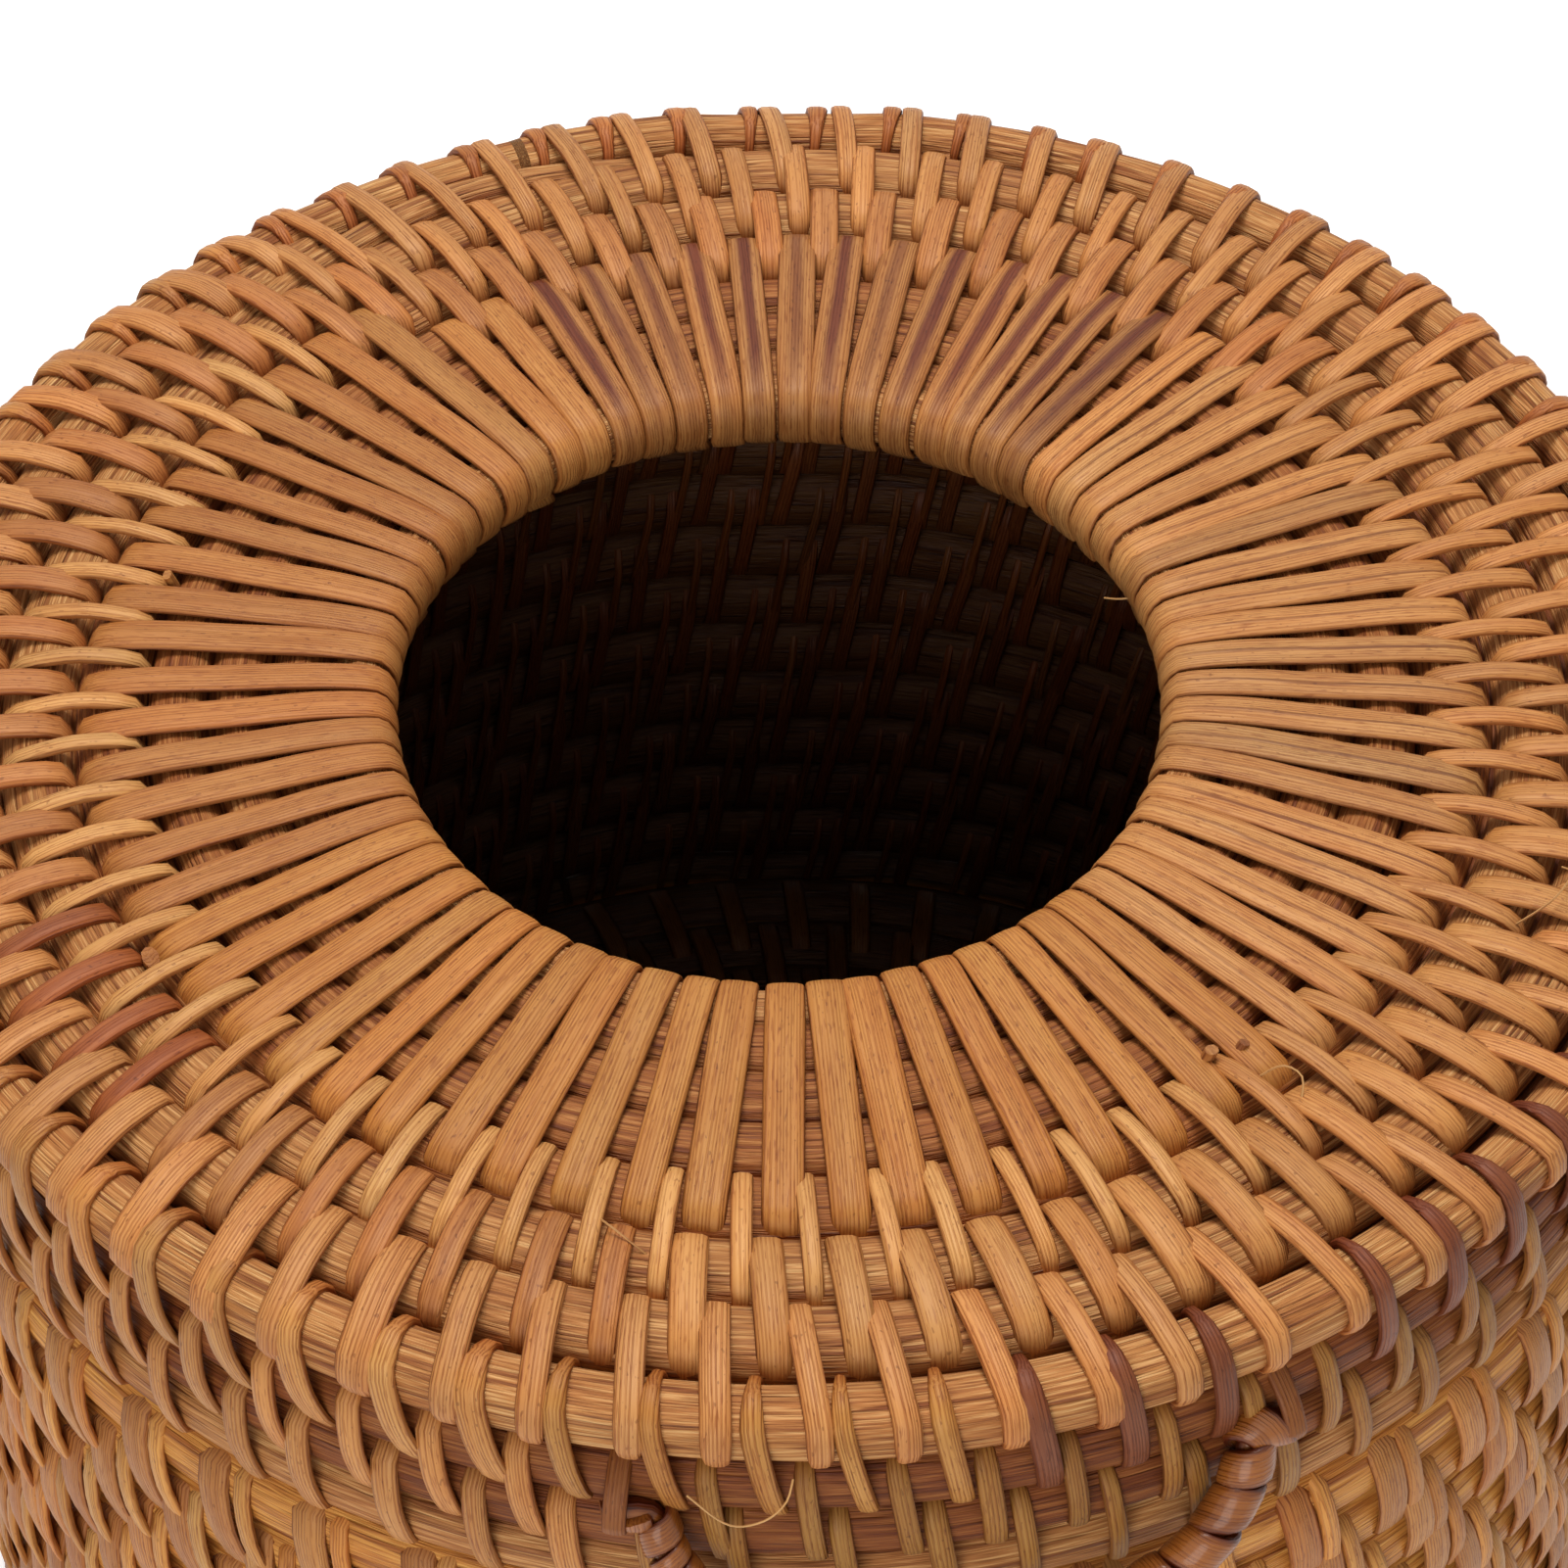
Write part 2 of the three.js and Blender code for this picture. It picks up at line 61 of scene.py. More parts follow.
scene = bpy.context.scene
camera_data = bpy.data.cameras.new("camera")
camera_data.sensor_width = SENSOR_WIDTH
camera_data.lens = SENSOR_WIDTH * FOCAL_PIXELS / IMAGE_WIDTH
camera_data.clip_start = 0.01
camera = bpy.data.objects.new("camera", camera_data)
scene.collection.objects.link(camera)
backwards = Vector((0, -math.cos(CAMERA_RISE), math.sin(CAMERA_RISE)))
tilt = Matrix.Rotation(math.pi / 2 - CAMERA_RISE, 4, "X") @ Matrix.Rotation(CAMERA_ROLL, 4, "Z")
camera.matrix_world = Matrix.Translation(CAMERA_TARGET + CAMERA_DISTANCE * backwards) @ tilt
scene.camera = camera
scene.view_settings.view_transform = "Standard"


# Node trees, for materials and for shapes alike, are written as sums on their sockets. Every other
# node comes from one method, which takes its kind, its settings and its inputs.
class Value:
    """A number, vector or colour in a tree. Sums on numbers add the tree's Math nodes."""

    def __init__(self, tree, socket):
        self.tree = tree
        self.socket = socket

    def out(self, name):
        return Value(self.tree, self.socket.node.outputs[name])

    def __add__(self, other):
        return self.tree.math("ADD", self, other)

    def __sub__(self, other):
        return self.tree.math("SUBTRACT", self, other)

    def __rsub__(self, other):
        return self.tree.math("SUBTRACT", other, self)

    def __mul__(self, other):
        return self.tree.math("MULTIPLY", self, other)

    def __truediv__(self, other):
        return self.tree.math("DIVIDE", self, other)

    def __pow__(self, other):
        return self.tree.math("POWER", self, other)

    __radd__ = __add__


def set_stops(ramp, stops):
    while len(ramp.elements) < len(stops):
        ramp.elements.new(1)
    for element, (place, colour) in zip(ramp.elements, stops):
        element.position = place
        element.color = (*colour, 1)


class Tree:
    """A node tree that is filled from Python."""

    def __init__(self, tree):
        self.tree = tree

    def add(self, kind, settings, inputs, output=0):
        node = self.tree.nodes.new(kind)
        for name, value in settings.items():
            if name == "stops":
                set_stops(node.color_ramp, value)
            else:
                setattr(node, name, value)
        for key, value in inputs.items():
            if isinstance(value, Value):
                self.tree.links.new(value.socket, node.inputs[key])
            else:
                node.inputs[key].default_value = value
        return Value(self, node.outputs[output]) if len(node.outputs) else node

    def math(self, operation, *values):
        return self.add("ShaderNodeMath", {"operation": operation}, dict(enumerate(values)))

    def vector(self, operation, *values):
        return self.add("ShaderNodeVectorMath", {"operation": operation}, dict(enumerate(values)))

    def scaled(self, vector, scale):
        return self.add("ShaderNodeVectorMath", {"operation": "SCALE"}, {0: vector, "Scale": scale})

    def attribute(self, name, output):
        return self.add("ShaderNodeAttribute", {"attribute_name": name}, {}, output)

    def parts(self, vector):
        split = self.add("ShaderNodeSeparateXYZ", {}, {0: vector})
        return split, split.out("Y"), split.out("Z")

    def joined(self, x, y, z):
        return self.add("ShaderNodeCombineXYZ", {}, {0: x, 1: y, 2: z})

    def clamped(self, value, low, high):
        ends = {"Value": value, "From Min": low, "From Max": high}
        return self.add("ShaderNodeMapRange", {"interpolation_type": "SMOOTHSTEP"}, ends)

    def mix(self, factor, first, second, blend="MIX"):
        inputs = {0: factor, 6: first, 7: second}
        return self.add("ShaderNodeMix", {"data_type": "RGBA", "blend_type": blend}, inputs, 2)


# A plain pale floor and a white studio. Only the camera, glossy and transmitted rays see the white;
# the light on the box comes from an even dim surround and from large soft lamps above it.
SURROUND_LEVEL = 0.3
world = bpy.data.worlds.new("studio")
scene.world = world
world.use_nodes = True
world.node_tree.nodes.clear()
studio = Tree(world.node_tree)


def seen_white(tree):
    """One for the rays that see the studio white, and zero for those that light the box."""
    ray = tree.add("ShaderNodeLightPath", {}, {})
    bounced = tree.math("MAXIMUM", ray.out("Is Glossy Ray"), ray.out("Is Transmission Ray"))
    return tree.math("MAXIMUM", ray.out("Is Camera Ray"), bounced)


level = SURROUND_LEVEL + seen_white(studio) * (1 - SURROUND_LEVEL)
surround = studio.add("ShaderNodeBackground", {}, {"Color": (1, 1, 1, 1), "Strength": level})
studio.add("ShaderNodeOutputWorld", {}, {"Surface": surround})


def add_lamp(name, place, size, power):
    lamp_data = bpy.data.lights.new(name, "AREA")
    lamp_data.shape = "DISK"
    lamp_data.size = size
    lamp_data.energy = power
    lamp = bpy.data.objects.new(name, lamp_data)
    lamp.location = place
    lamp.rotation_euler = (CAMERA_TARGET - lamp.location).to_track_quat("-Z", "Y").to_euler()
    scene.collection.objects.link(lamp)


add_lamp("top_lamp", Vector((-0.02, 0.18, 0.75)), 0.4, 4.2)
add_lamp("front_lamp", Vector((-0.15, -0.65, 0.33)), 0.5, 2.2)


def start_material(name):
    material = bpy.data.materials.new(name)
    material.use_nodes = True
    material.node_tree.nodes.clear()
    return material, Tree(material.node_tree)


floor_mesh = bpy.data.meshes.new("floor")
reach = 2.5
corners = [(-reach, -reach, 0), (reach, -reach, 0), (reach, reach, 0), (-reach, reach, 0)]
floor_mesh.from_pydata(corners, [], [(0, 1, 2, 3)])
pale, tree = start_material("pale_floor")
paint = tree.add("ShaderNodeBsdfDiffuse", {}, {"Color": (0.82, 0.82, 0.82, 1)})
inputs = {"Color": (1, 1, 1, 1), "Strength": seen_white(tree) * 0.45}
white = tree.add("ShaderNodeEmission", {}, inputs)
both = tree.add("ShaderNodeAddShader", {}, {0: paint, 1: white})
tree.add("ShaderNodeOutputMaterial", {}, {"Surface": both})
floor_mesh.materials.append(pale)
floor = bpy.data.objects.new("floor", floor_mesh)
scene.collection.objects.link(floor)


# Cane of any kind is a length of one cross-section along a path: rods are round, split strips are
# flat with rounded backs. One tree sweeps a section along each path and splits its surface a little
# along the fibres. It leaves each point's place on the straightened cane, for the materials.
SPLIT_LENGTH = 14  # in widths of a split


def cane_tree():
    group = bpy.data.node_groups.new("sweep_cane", "GeometryNodeTree")
    kinds = {
        "Geometry": "NodeSocketGeometry",
        "Step": "NodeSocketFloat",
        "Sides": "NodeSocketInt",
        "Roundness": "NodeSocketFloat",
        "Split Depth": "NodeSocketFloat",
        "Split Width": "NodeSocketFloat",
        "Material": "NodeSocketMaterial",
    }
    for name, kind in kinds.items():
        group.interface.new_socket(name, in_out="INPUT", socket_type=kind)
    group.interface.new_socket("Geometry", in_out="OUTPUT", socket_type="NodeSocketGeometry")
    tree = Tree(group)
    given = tree.add("NodeGroupInput", {}, {})

    def read(name, kind="FLOAT_VECTOR"):
        return tree.add("GeometryNodeInputNamedAttribute", {"data_type": kind}, {"Name": name})

    def store(shape, name, value, kind="FLOAT_VECTOR"):
        inputs = {"Geometry": shape, "Name": name, "Value": value}
        return tree.add("GeometryNodeStoreNamedAttribute", {"data_type": kind, "domain": "POINT"}, inputs)

    path = tree.add("GeometryNodeMeshToCurve", {}, {"Mesh": given.out("Geometry")})
    path = tree.add("GeometryNodeCurveSplineType", {"spline_type": "CATMULL_ROM"}, {"Curve": path})
    inputs = {"Curve": path, "Length": given.out("Step")}
    path = tree.add("GeometryNodeResampleCurve", {"mode": "LENGTH"}, inputs)
    path = store(path, "middle", tree.add("GeometryNodeInputPosition", {}, {}))
    path = store(path, "heading", tree.add("GeometryNodeInputTangent", {}, {}))
    path = store(path, "run", tree.add("GeometryNodeSplineParameter", {}, {}).out("Length"), "FLOAT")
    inputs = {"Resolution": given.out("Sides"), "Radius": 1.0}
    section = tree.add("GeometryNodeCurvePrimitiveCircle", {}, inputs)
    section = store(section, "rim", tree.add("GeometryNodeInputPosition", {}, {}))
    inputs = {"Curve": path, "Profile Curve": section, "Fill Caps": True}
    shape = tree.add("GeometryNodeCurveToMesh", {}, inputs)

    x, y, _ = tree.parts(read("rim"))
    roundness = given.out("Roundness")
    x = tree.math("SIGN", x) * tree.math("ABSOLUTE", x) ** roundness * read("width", "FLOAT") / 2
    y = tree.math("SIGN", y) * tree.math("ABSOLUTE", y) ** roundness * read("thickness", "FLOAT") / 2
    across = tree.vector("NORMALIZE", tree.vector("CROSS_PRODUCT", read("heading"), read("out")))
    lift = tree.vector("NORMALIZE", tree.vector("CROSS_PRODUCT", across, read("heading")))
    sideways = tree.vector("ADD", read("middle"), tree.scaled(across, x))
    place = tree.vector("ADD", sideways, tree.scaled(lift, y))
    shape = tree.add("GeometryNodeSetPosition", {}, {"Geometry": shape, "Position": place})
    straight = tree.joined(x, y, read("run", "FLOAT") + read("piece", "FLOAT"))
    shape = store(shape, "straight", straight)

    width = given.out("Split Width")
    length = width * SPLIT_LENGTH
    stretched = tree.vector("DIVIDE", read("straight"), tree.joined(width, width, length))
    fibres = tree.add("ShaderNodeTexNoise", {}, {"Vector": stretched, "Scale": 1.0, "Detail": 1.0})
    swell = (fibres - 0.5) * 2 * given.out("Split Depth")
    offset = tree.scaled(tree.add("GeometryNodeInputNormal", {}, {}), swell)
    shape = tree.add("GeometryNodeSetPosition", {}, {"Geometry": shape, "Offset": offset})
    shape = tree.add("GeometryNodeSetShadeSmooth", {}, {"Geometry": shape, "Shade Smooth": True})
    shape = tree.add("GeometryNodeRealizeInstances", {}, {"Geometry": shape})
    inputs = {"Geometry": shape, "Material": given.out("Material")}
    shape = tree.add("GeometryNodeSetMaterial", {}, inputs)
    tree.add("NodeGroupOutput", {}, {"Geometry": shape})
    return group


SWEEP = cane_tree()
SPENT = ("middle", "heading", "run", "out", "width", "thickness", "piece")  # no material reads them
GRAIN_SHIFT = 0.37  # metres along the grain from one cane to the next, so that none are alike


def cane(path, out, width, thickness, tint=(1, 1, 1), mark=0.0, ribs=0.5, closed=False):
    """One length of cane, by its middle line and the way that its back faces along it. Its mark is
    the depth of a dark streak, or below zero of a groove, and ribs is how plain its ribs show."""
    count = len(path)
    return {
        "path": np.asarray(path, float),
        "out": np.asarray(out, float),
        "width": np.broadcast_to(width, count),
        "thickness": np.broadcast_to(thickness, count),
        "tint": np.broadcast_to(tint, (count, 3)),
        "mark": np.broadcast_to(mark, count),
        "ribs": np.broadcast_to(ribs, count),
        "closed": closed,
    }


def sweep_canes(name, canes, material, step, sides, roundness=1.0, split=(0.0, 0.4 * MM)):
    """Canes swept and joined to one plain mesh, which keeps what the materials read."""
    edges = []
    start = 0
    for length in canes:
        count = len(length["path"])
        edges += [(start + i, start + i + 1) for i in range(count - 1)]
        if length["closed"]:
            edges.append((start + count - 1, start))
        start += count
    paths = bpy.data.meshes.new(name)
    paths.from_pydata(np.concatenate([c["path"] for c in canes]), edges, [])
    for key in ("out", "tint"):
        layer = paths.attributes.new(key, "FLOAT_VECTOR", "POINT")
        layer.data.foreach_set("vector", np.concatenate([c[key] for c in canes]).ravel())
    numbers = {key: [c[key] for c in canes] for key in ("width", "thickness", "mark", "ribs")}
    numbers["piece"] = [np.full(len(c["path"]), GRAIN_SHIFT * i) for i, c in enumerate(canes)]
    for key, values in numbers.items():
        layer = paths.attributes.new(key, "FLOAT", "POINT")
        layer.data.foreach_set("value", np.concatenate(values))

    source = bpy.data.objects.new(name + "_paths", paths)
    scene.collection.objects.link(source)
    modifier = source.modifiers.new("sweep", "NODES")
    modifier.node_group = SWEEP
    given = {
        "Step": step,
        "Sides": sides,
        "Roundness": roundness,
        "Split Depth": split[0],
        "Split Width": split[1],
        "Material": material,
    }
    for item in SWEEP.interface.items_tree:
        if item.name in given:
            modifier[item.identifier] = given[item.name]
    evaluated = source.evaluated_get(bpy.context.evaluated_depsgraph_get())
    mesh = bpy.data.meshes.new_from_object(evaluated)
    bpy.data.objects.remove(source)
    for key in SPENT:
        mesh.attributes.remove(mesh.attributes[key])
    mesh.name = name
    piece = bpy.data.objects.new(name, mesh)
    scene.collection.objects.link(piece)
    return piece


# Rattan core: the rod that is left when the skin is split off. Its fibres run lengthwise, with
# dark pores and pale broken threads between them, and it takes a tan stain unevenly.
def fibre_noise(tree, place, width, length, detail=2.0):
    stretched = tree.vector("DIVIDE", place, (width, width, length))
    return tree.add("ShaderNodeTexNoise", {}, {"Vector": stretched, "Scale": 1.0, "Detail": detail})


def finish_material(tree, colour, roughness, height, relief):
    bump = tree.add("ShaderNodeBump", {}, {"Strength": 1.0, "Distance": relief, "Height": height})
    surface = {"Base Color": colour, "Roughness": roughness, "Specular IOR Level": 0.25, "Normal": bump}
    skin = tree.add("ShaderNodeBsdfPrincipled", {}, surface)
    tree.add("ShaderNodeOutputMaterial", {}, {"Surface": skin})


# Where the painted shade on the inside fades in: by radius at the wall and height above the base, and out
# again towards the lid.
WALL_FADE = 69.3 * MM, 70.3 * MM
BASE_FADE = 2.2 * MM, 3.4 * MM
LID_FADE = 92 * MM, 94.2 * MM


def painted_inner_shade(tree, colour, shade):
    """Painted shade: cane is darkened where it faces the inside of the box, which little light reaches.
    """
    x, y, z = tree.parts(tree.add("ShaderNodeTexCoord", {}, {}).out("Object"))
    radius = (x * x + y * y) ** 0.5
    inside = (1 - tree.clamped(radius, *WALL_FADE)) * tree.clamped(z, *BASE_FADE)
    inside = inside * (1 - tree.clamped(z, *LID_FADE))
    return tree.mix(inside, colour, (*shade, 1), "MULTIPLY")


def core_material(name, colours, roughness, relief):
    """Core cane's finish, from its dark, middle and pale colours."""
    material, tree = start_material(name)
    place = tree.attribute("straight", "Vector")
    fibres = fibre_noise(tree, place, 0.22 * MM, 8 * MM, 1.0)
    threads = fibre_noise(tree, place, 0.1 * MM, 3 * MM, 1.0)
    splits = fibre_noise(tree, place, 0.6 * MM, 16 * MM, 1.0)
    stain = fibre_noise(tree, place, 3 * MM, 18 * MM)
    grain = fibres * 0.5 + threads * 0.5
    stops = list(zip((0.34, 0.5, 0.66), colours))
    colour = tree.add("ShaderNodeValToRGB", {"stops": stops}, {"Fac": grain})
    crack = 1 - tree.clamped(splits, 0.36, 0.42)
    colour = tree.mix(crack * 0.65, colour, (0.4, 0.2, 0.1, 1), "MULTIPLY")
    colour = tree.mix(tree.clamped(stain, 0.35, 0.7) * 0.6, colour, (0.76, 0.56, 0.42, 1), "MULTIPLY")
    tint = tree.attribute("tint", "Color")
    # Painted shade on the core's colour where it faces the inside of the box.
    colour = painted_inner_shade(tree, tree.mix(1.0, colour, tint, "MULTIPLY"), (0.19, 0.16, 0.18))
    finish_material(tree, colour, roughness + threads * 0.2, grain - crack * 0.4, relief)
    return material


LID_COLOURS = (0.24, 0.083, 0.02), (0.46, 0.19, 0.053), (0.72, 0.4, 0.155)
RIM_COLOURS = (0.26, 0.083, 0.02), (0.51, 0.212, 0.058), (0.78, 0.45, 0.18)
BOX_COLOURS = (0.34, 0.11, 0.019), (0.64, 0.265, 0.052), (0.8, 0.41, 0.1)
LID_CORE = core_material("lid_core_cane", LID_COLOURS, 0.5, 0.3 * MM)
RIM_CORE = core_material("rim_core_cane", RIM_COLOURS, 0.52, 0.35 * MM)
BOX_CORE = core_material("box_core_cane", BOX_COLOURS, 0.4, 0.25 * MM)


# The lid's rods: a rim rod and an edge rod, each a closed hoop, a rod that winds down the skirt
# between them, and one that winds in over the top. Only the stitches hold them together.
WALL_RADIUS = 70 * MM
LID_STEP_ANGLE = 217.5
JOG = 0.14  # of a turn, before and after each step from row to row
HINGE_HALF_ANGLE = 7.5
ROD_STEP = 1.0 * MM
ROD_GAP = 0.1 * MM
RIM_ROD = 4.9 * MM
EDGE_ROD = 4.2 * MM
SKIRT_ROD = 4.2 * MM
ROW_ROD = 4.5 * MM
BOUND_ROD = 3.4 * MM
THINNEST = 1.6 * MM


def middle_height(node):
    low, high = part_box(node)
    return (low.z + high.z) / 2


lid_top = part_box("lid_row_coil")[1].z
rim_height = middle_height("lid_rim_rod")
edge_height = middle_height("lid_edge_rod")
SKIRT_PITCH = 5.4 * MM
skirt_height = edge_height + 2 * SKIRT_PITCH
TOP_PITCH = 5.9 * MM
WIDE_ROWS = 3
BOUND_ROWS = 3.5
top_start = WALL_RADIUS - 3.15 * MM
OPENING_RADIUS = 32.79 * MM
OPENING_SIDE = 1.8 * MM  # from there to the outer side of the opening's own rod
bound_pitch = (top_start - WIDE_ROWS * TOP_PITCH - OPENING_RADIUS) / BOUND_ROWS


def on_circle(angles, radii, heights):
    turn = np.radians(angles)
    return np.stack([radii * np.sin(turn), -radii * np.cos(turn), heights + 0 * turn], axis=-1)


def outwards(angles):
    return on_circle(angles, 1.0, 0.0)


def row_after(turns):
    """A coil keeps level and steps to the next row once a turn, always at the same angle."""
    step = np.round(turns)
    share = np.clip((turns - step) / JOG, -1, 1)
    return step + 0.5 * np.sin(share * math.pi / 2)


def wall_radius(angles):
    """The wall's rods run straight for a little way at the back, where the hinge is."""
    away = np.minimum(np.abs(np.asarray(angles) % 360 - 180), HINGE_HALF_ANGLE)
    straight = math.cos(math.radians(HINGE_HALF_ANGLE)) / np.cos(np.radians(away))
    return WALL_RADIUS * straight


def shaved(full, room):
    """A rod's thickness: full, or where the room to its neighbour's side is short, shaved thinner."""
    return np.clip(2 * (room + ROD_GAP), THINNEST, full)


def full_turn(step):
    """Angles for a closed hoop, whose ends meet at the back."""
    return np.arange(200, 560, step)


def hoop(height, wide, tall, round_at_hinge=False):
    """A rod closed to a hoop. The hinge's rings need it round where they hold it."""
    angles = full_turn(2.5)
    if round_at_hinge:
        away = np.abs(angles % 360 - 180)
        tall = wide + (tall - wide) * np.clip((away - 8) / 8, 0, 1)
    path = on_circle(angles, wall_radius(angles), height)
    return cane(path, outwards(angles), tall, wide, closed=True)


def skirt_coil(turns):
    """Radius, height and thickness of the skirt's rod after some turns."""
    height = skirt_height - (row_after(turns) - 0.5) * SKIRT_PITCH
    room = np.minimum(rim_height - RIM_ROD / 2 - height, height - edge_height - EDGE_ROD / 2)
    return wall_radius(LID_STEP_ANGLE - 360 * turns), height, shaved(SKIRT_ROD, room)


def top_coil(turns):
    """The same for the top's rod, whose inner rows lie a little off the box's middle."""
    row = row_after(turns)
    outer = np.minimum(row, WIDE_ROWS)
    turn = np.radians(LID_STEP_ANGLE + 360 * turns)
    aside = (0.65 * np.cos(turn) - 0.6 * np.sin(turn)) * MM * outer / WIDE_ROWS
    radius = top_start - outer * TOP_PITCH - (row - outer) * bound_pitch + aside
    room = np.minimum(WALL_RADIUS - RIM_ROD / 2 - radius, radius - OPENING_RADIUS - OPENING_SIDE)
    bound = np.clip(2 * (row - WIDE_ROWS + 0.5), 0, 1)
    thick = shaved(ROW_ROD - (ROW_ROD - BOUND_ROD) * bound, room)
    return radius, lid_top - thick / 2, thick


def top_seam(turns):
    """The same for a thin cane that closes the seam between a turn of that rod and the next."""
    radius, _, _ = top_coil(turns)
    return radius - TOP_PITCH / 2, lid_top - 2.6 * MM + 0 * turns, 1.4 * MM + 0 * turns


def coiled_rod(coil, way, step_angle, first, last, level, tint=(1, 1, 1), spread=None):
    """A coiled rod's cane from one turn to another. Level rods face up, the others outwards. The
    rod is pressed wider than it is thick, by its spread, and on the lid's top the more the thinner."""
    turns = np.linspace(first, last, int((last - first) * 144) + 1)
    angles = step_angle + way * 360 * turns
    radii, heights, thick = coil(turns)
    out = np.tile((0, 0, 1.0), (len(turns), 1)) if level else outwards(angles)
    if spread is None:
        spread = np.interp(thick, (BOUND_ROD, ROW_ROD), (1.42, 1.29))
    return cane(on_circle(angles, radii, heights), out, thick * spread, thick, tint)


STEP_SPAN = np.array([-50, -18, 0, 18])  # degrees from the place where a coil starts or ends
SKIRT_MIDDLE = 88.125  # mm; the space at a coil's lower end mirrors that at its upper end


def laid_in(step_angle, way, places, thick, level=False):
    """A short length of cane in the space that a coil leaves where it starts or ends."""
    angles = step_angle + way * STEP_SPAN
    if level:
        path = on_circle(angles, places * MM, lid_top - 1.7 * MM)
        return cane(path, np.tile((0, 0, 1.0), (4, 1)), thick * MM, thick * MM)
    path = on_circle(angles, wall_radius(angles), places * MM)
    return cane(path, outwards(angles), thick * MM, 4 * MM)


def filling(radius, height, tall, wide, tint):
    """A thin ring of cane that closes the gap between two rods."""
    angles = full_turn(5)
    return cane(on_circle(angles, radius, height), outwards(angles), tall, wide, tint, closed=True)


def add_rod(name, canes, material, body, sides=26, split=(0.2 * MM, 0.85 * MM), roundness=0.88):
    rod = sweep_canes(name + "_cane", canes, material, ROD_STEP, sides, roundness, split)
    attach(rod, body)
    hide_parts(name)


add_rod("lid_rim_rod", [hoop(rim_height, RIM_ROD, 5 * MM)], RIM_CORE, "lid")
edge_cane = hoop(edge_height, EDGE_ROD, 5 * MM, round_at_hinge=True)
add_rod("lid_edge_rod", [edge_cane], LID_CORE, "lid")
SKIRT_TINT = (0.5, 0.335, 0.215)
skirt_cane = coiled_rod(skirt_coil, -1, LID_STEP_ANGLE, 0, 2, False, SKIRT_TINT, 1.27)
skirt_gap = np.array([93.4, 92.9, 91.5, 89.4])
gap_width = np.array([1.0, 2.3, 2.5, 1.0])
skirt_start = laid_in(LID_STEP_ANGLE, -1, skirt_gap, gap_width)
skirt_end = laid_in(LID_STEP_ANGLE, 1, 2 * SKIRT_MIDDLE - skirt_gap, gap_width)
add_rod("lid_skirt_coil", [skirt_cane, skirt_start, skirt_end], LID_CORE, "lid")
row_cane = coiled_rod(top_coil, 1, LID_STEP_ANGLE, 0, 2, True)
row_gap = np.array([66.9, 66.2, 64.8, 62.4])
row_start = laid_in(LID_STEP_ANGLE, 1, row_gap, np.array([1.4, 3, 3.2, 1.6]), True)
# Painted shade: the fillers in the gaps between the rows are tinted dark to stand for the shade in those
# gaps.
SEAM_SHADE_TINT = (0.4, 0.26, 0.2)
row_fill = filling(67.1 * MM, lid_top - 4.4 * MM, 1.8 * MM, 2.2 * MM, SEAM_SHADE_TINT)
row_seam = coiled_rod(top_seam, 1, LID_STEP_ANGLE, -0.14, 2.2, True, SEAM_SHADE_TINT, 1.3)
add_rod("lid_row_coil", [row_cane, row_start, row_fill, row_seam], LID_CORE, "lid")
bound_cane = coiled_rod(top_coil, 1, LID_STEP_ANGLE, 2, 6, True, (0.74, 0.58, 0.46))
add_rod("lid_bound_coil", [bound_cane], LID_CORE, "lid")


# The opening's rod is a hoop inside the bound rows. Its height, and the place of its middle, give
# the opening its rounded edge.
OPENING_ROD = 5 * MM


def opening_rod(angle):
    """The opening isn't quite round: it is a little wider from front to back, and off the middle."""
    turn = math.radians(angle)
    inside = 30.48 + 0.8 * math.cos(2 * turn) - 0.75 * math.sin(turn) + 0.3 * math.cos(turn)
    return inside * MM + 0.65 * MM + OPENING_ROD / 2, lid_top - OPENING_ROD / 2, OPENING_ROD


angles = full_turn(4)
radii = np.array([opening_rod(angle)[0] for angle in angles])
path = on_circle(angles, radii, lid_top - OPENING_ROD / 2)
opening_cane = cane(path, outwards(angles), OPENING_ROD, OPENING_ROD, closed=True)
add_rod("opening_rod", [opening_cane], LID_CORE, "lid", 12)


# Split cane: strips of the rattan's skin, flat below and rounded above, with fine ribs along them.
# Each strip keeps the colour of the cane that it came from, so neighbours come in runs.
RIB_PITCH = 0.27 * MM


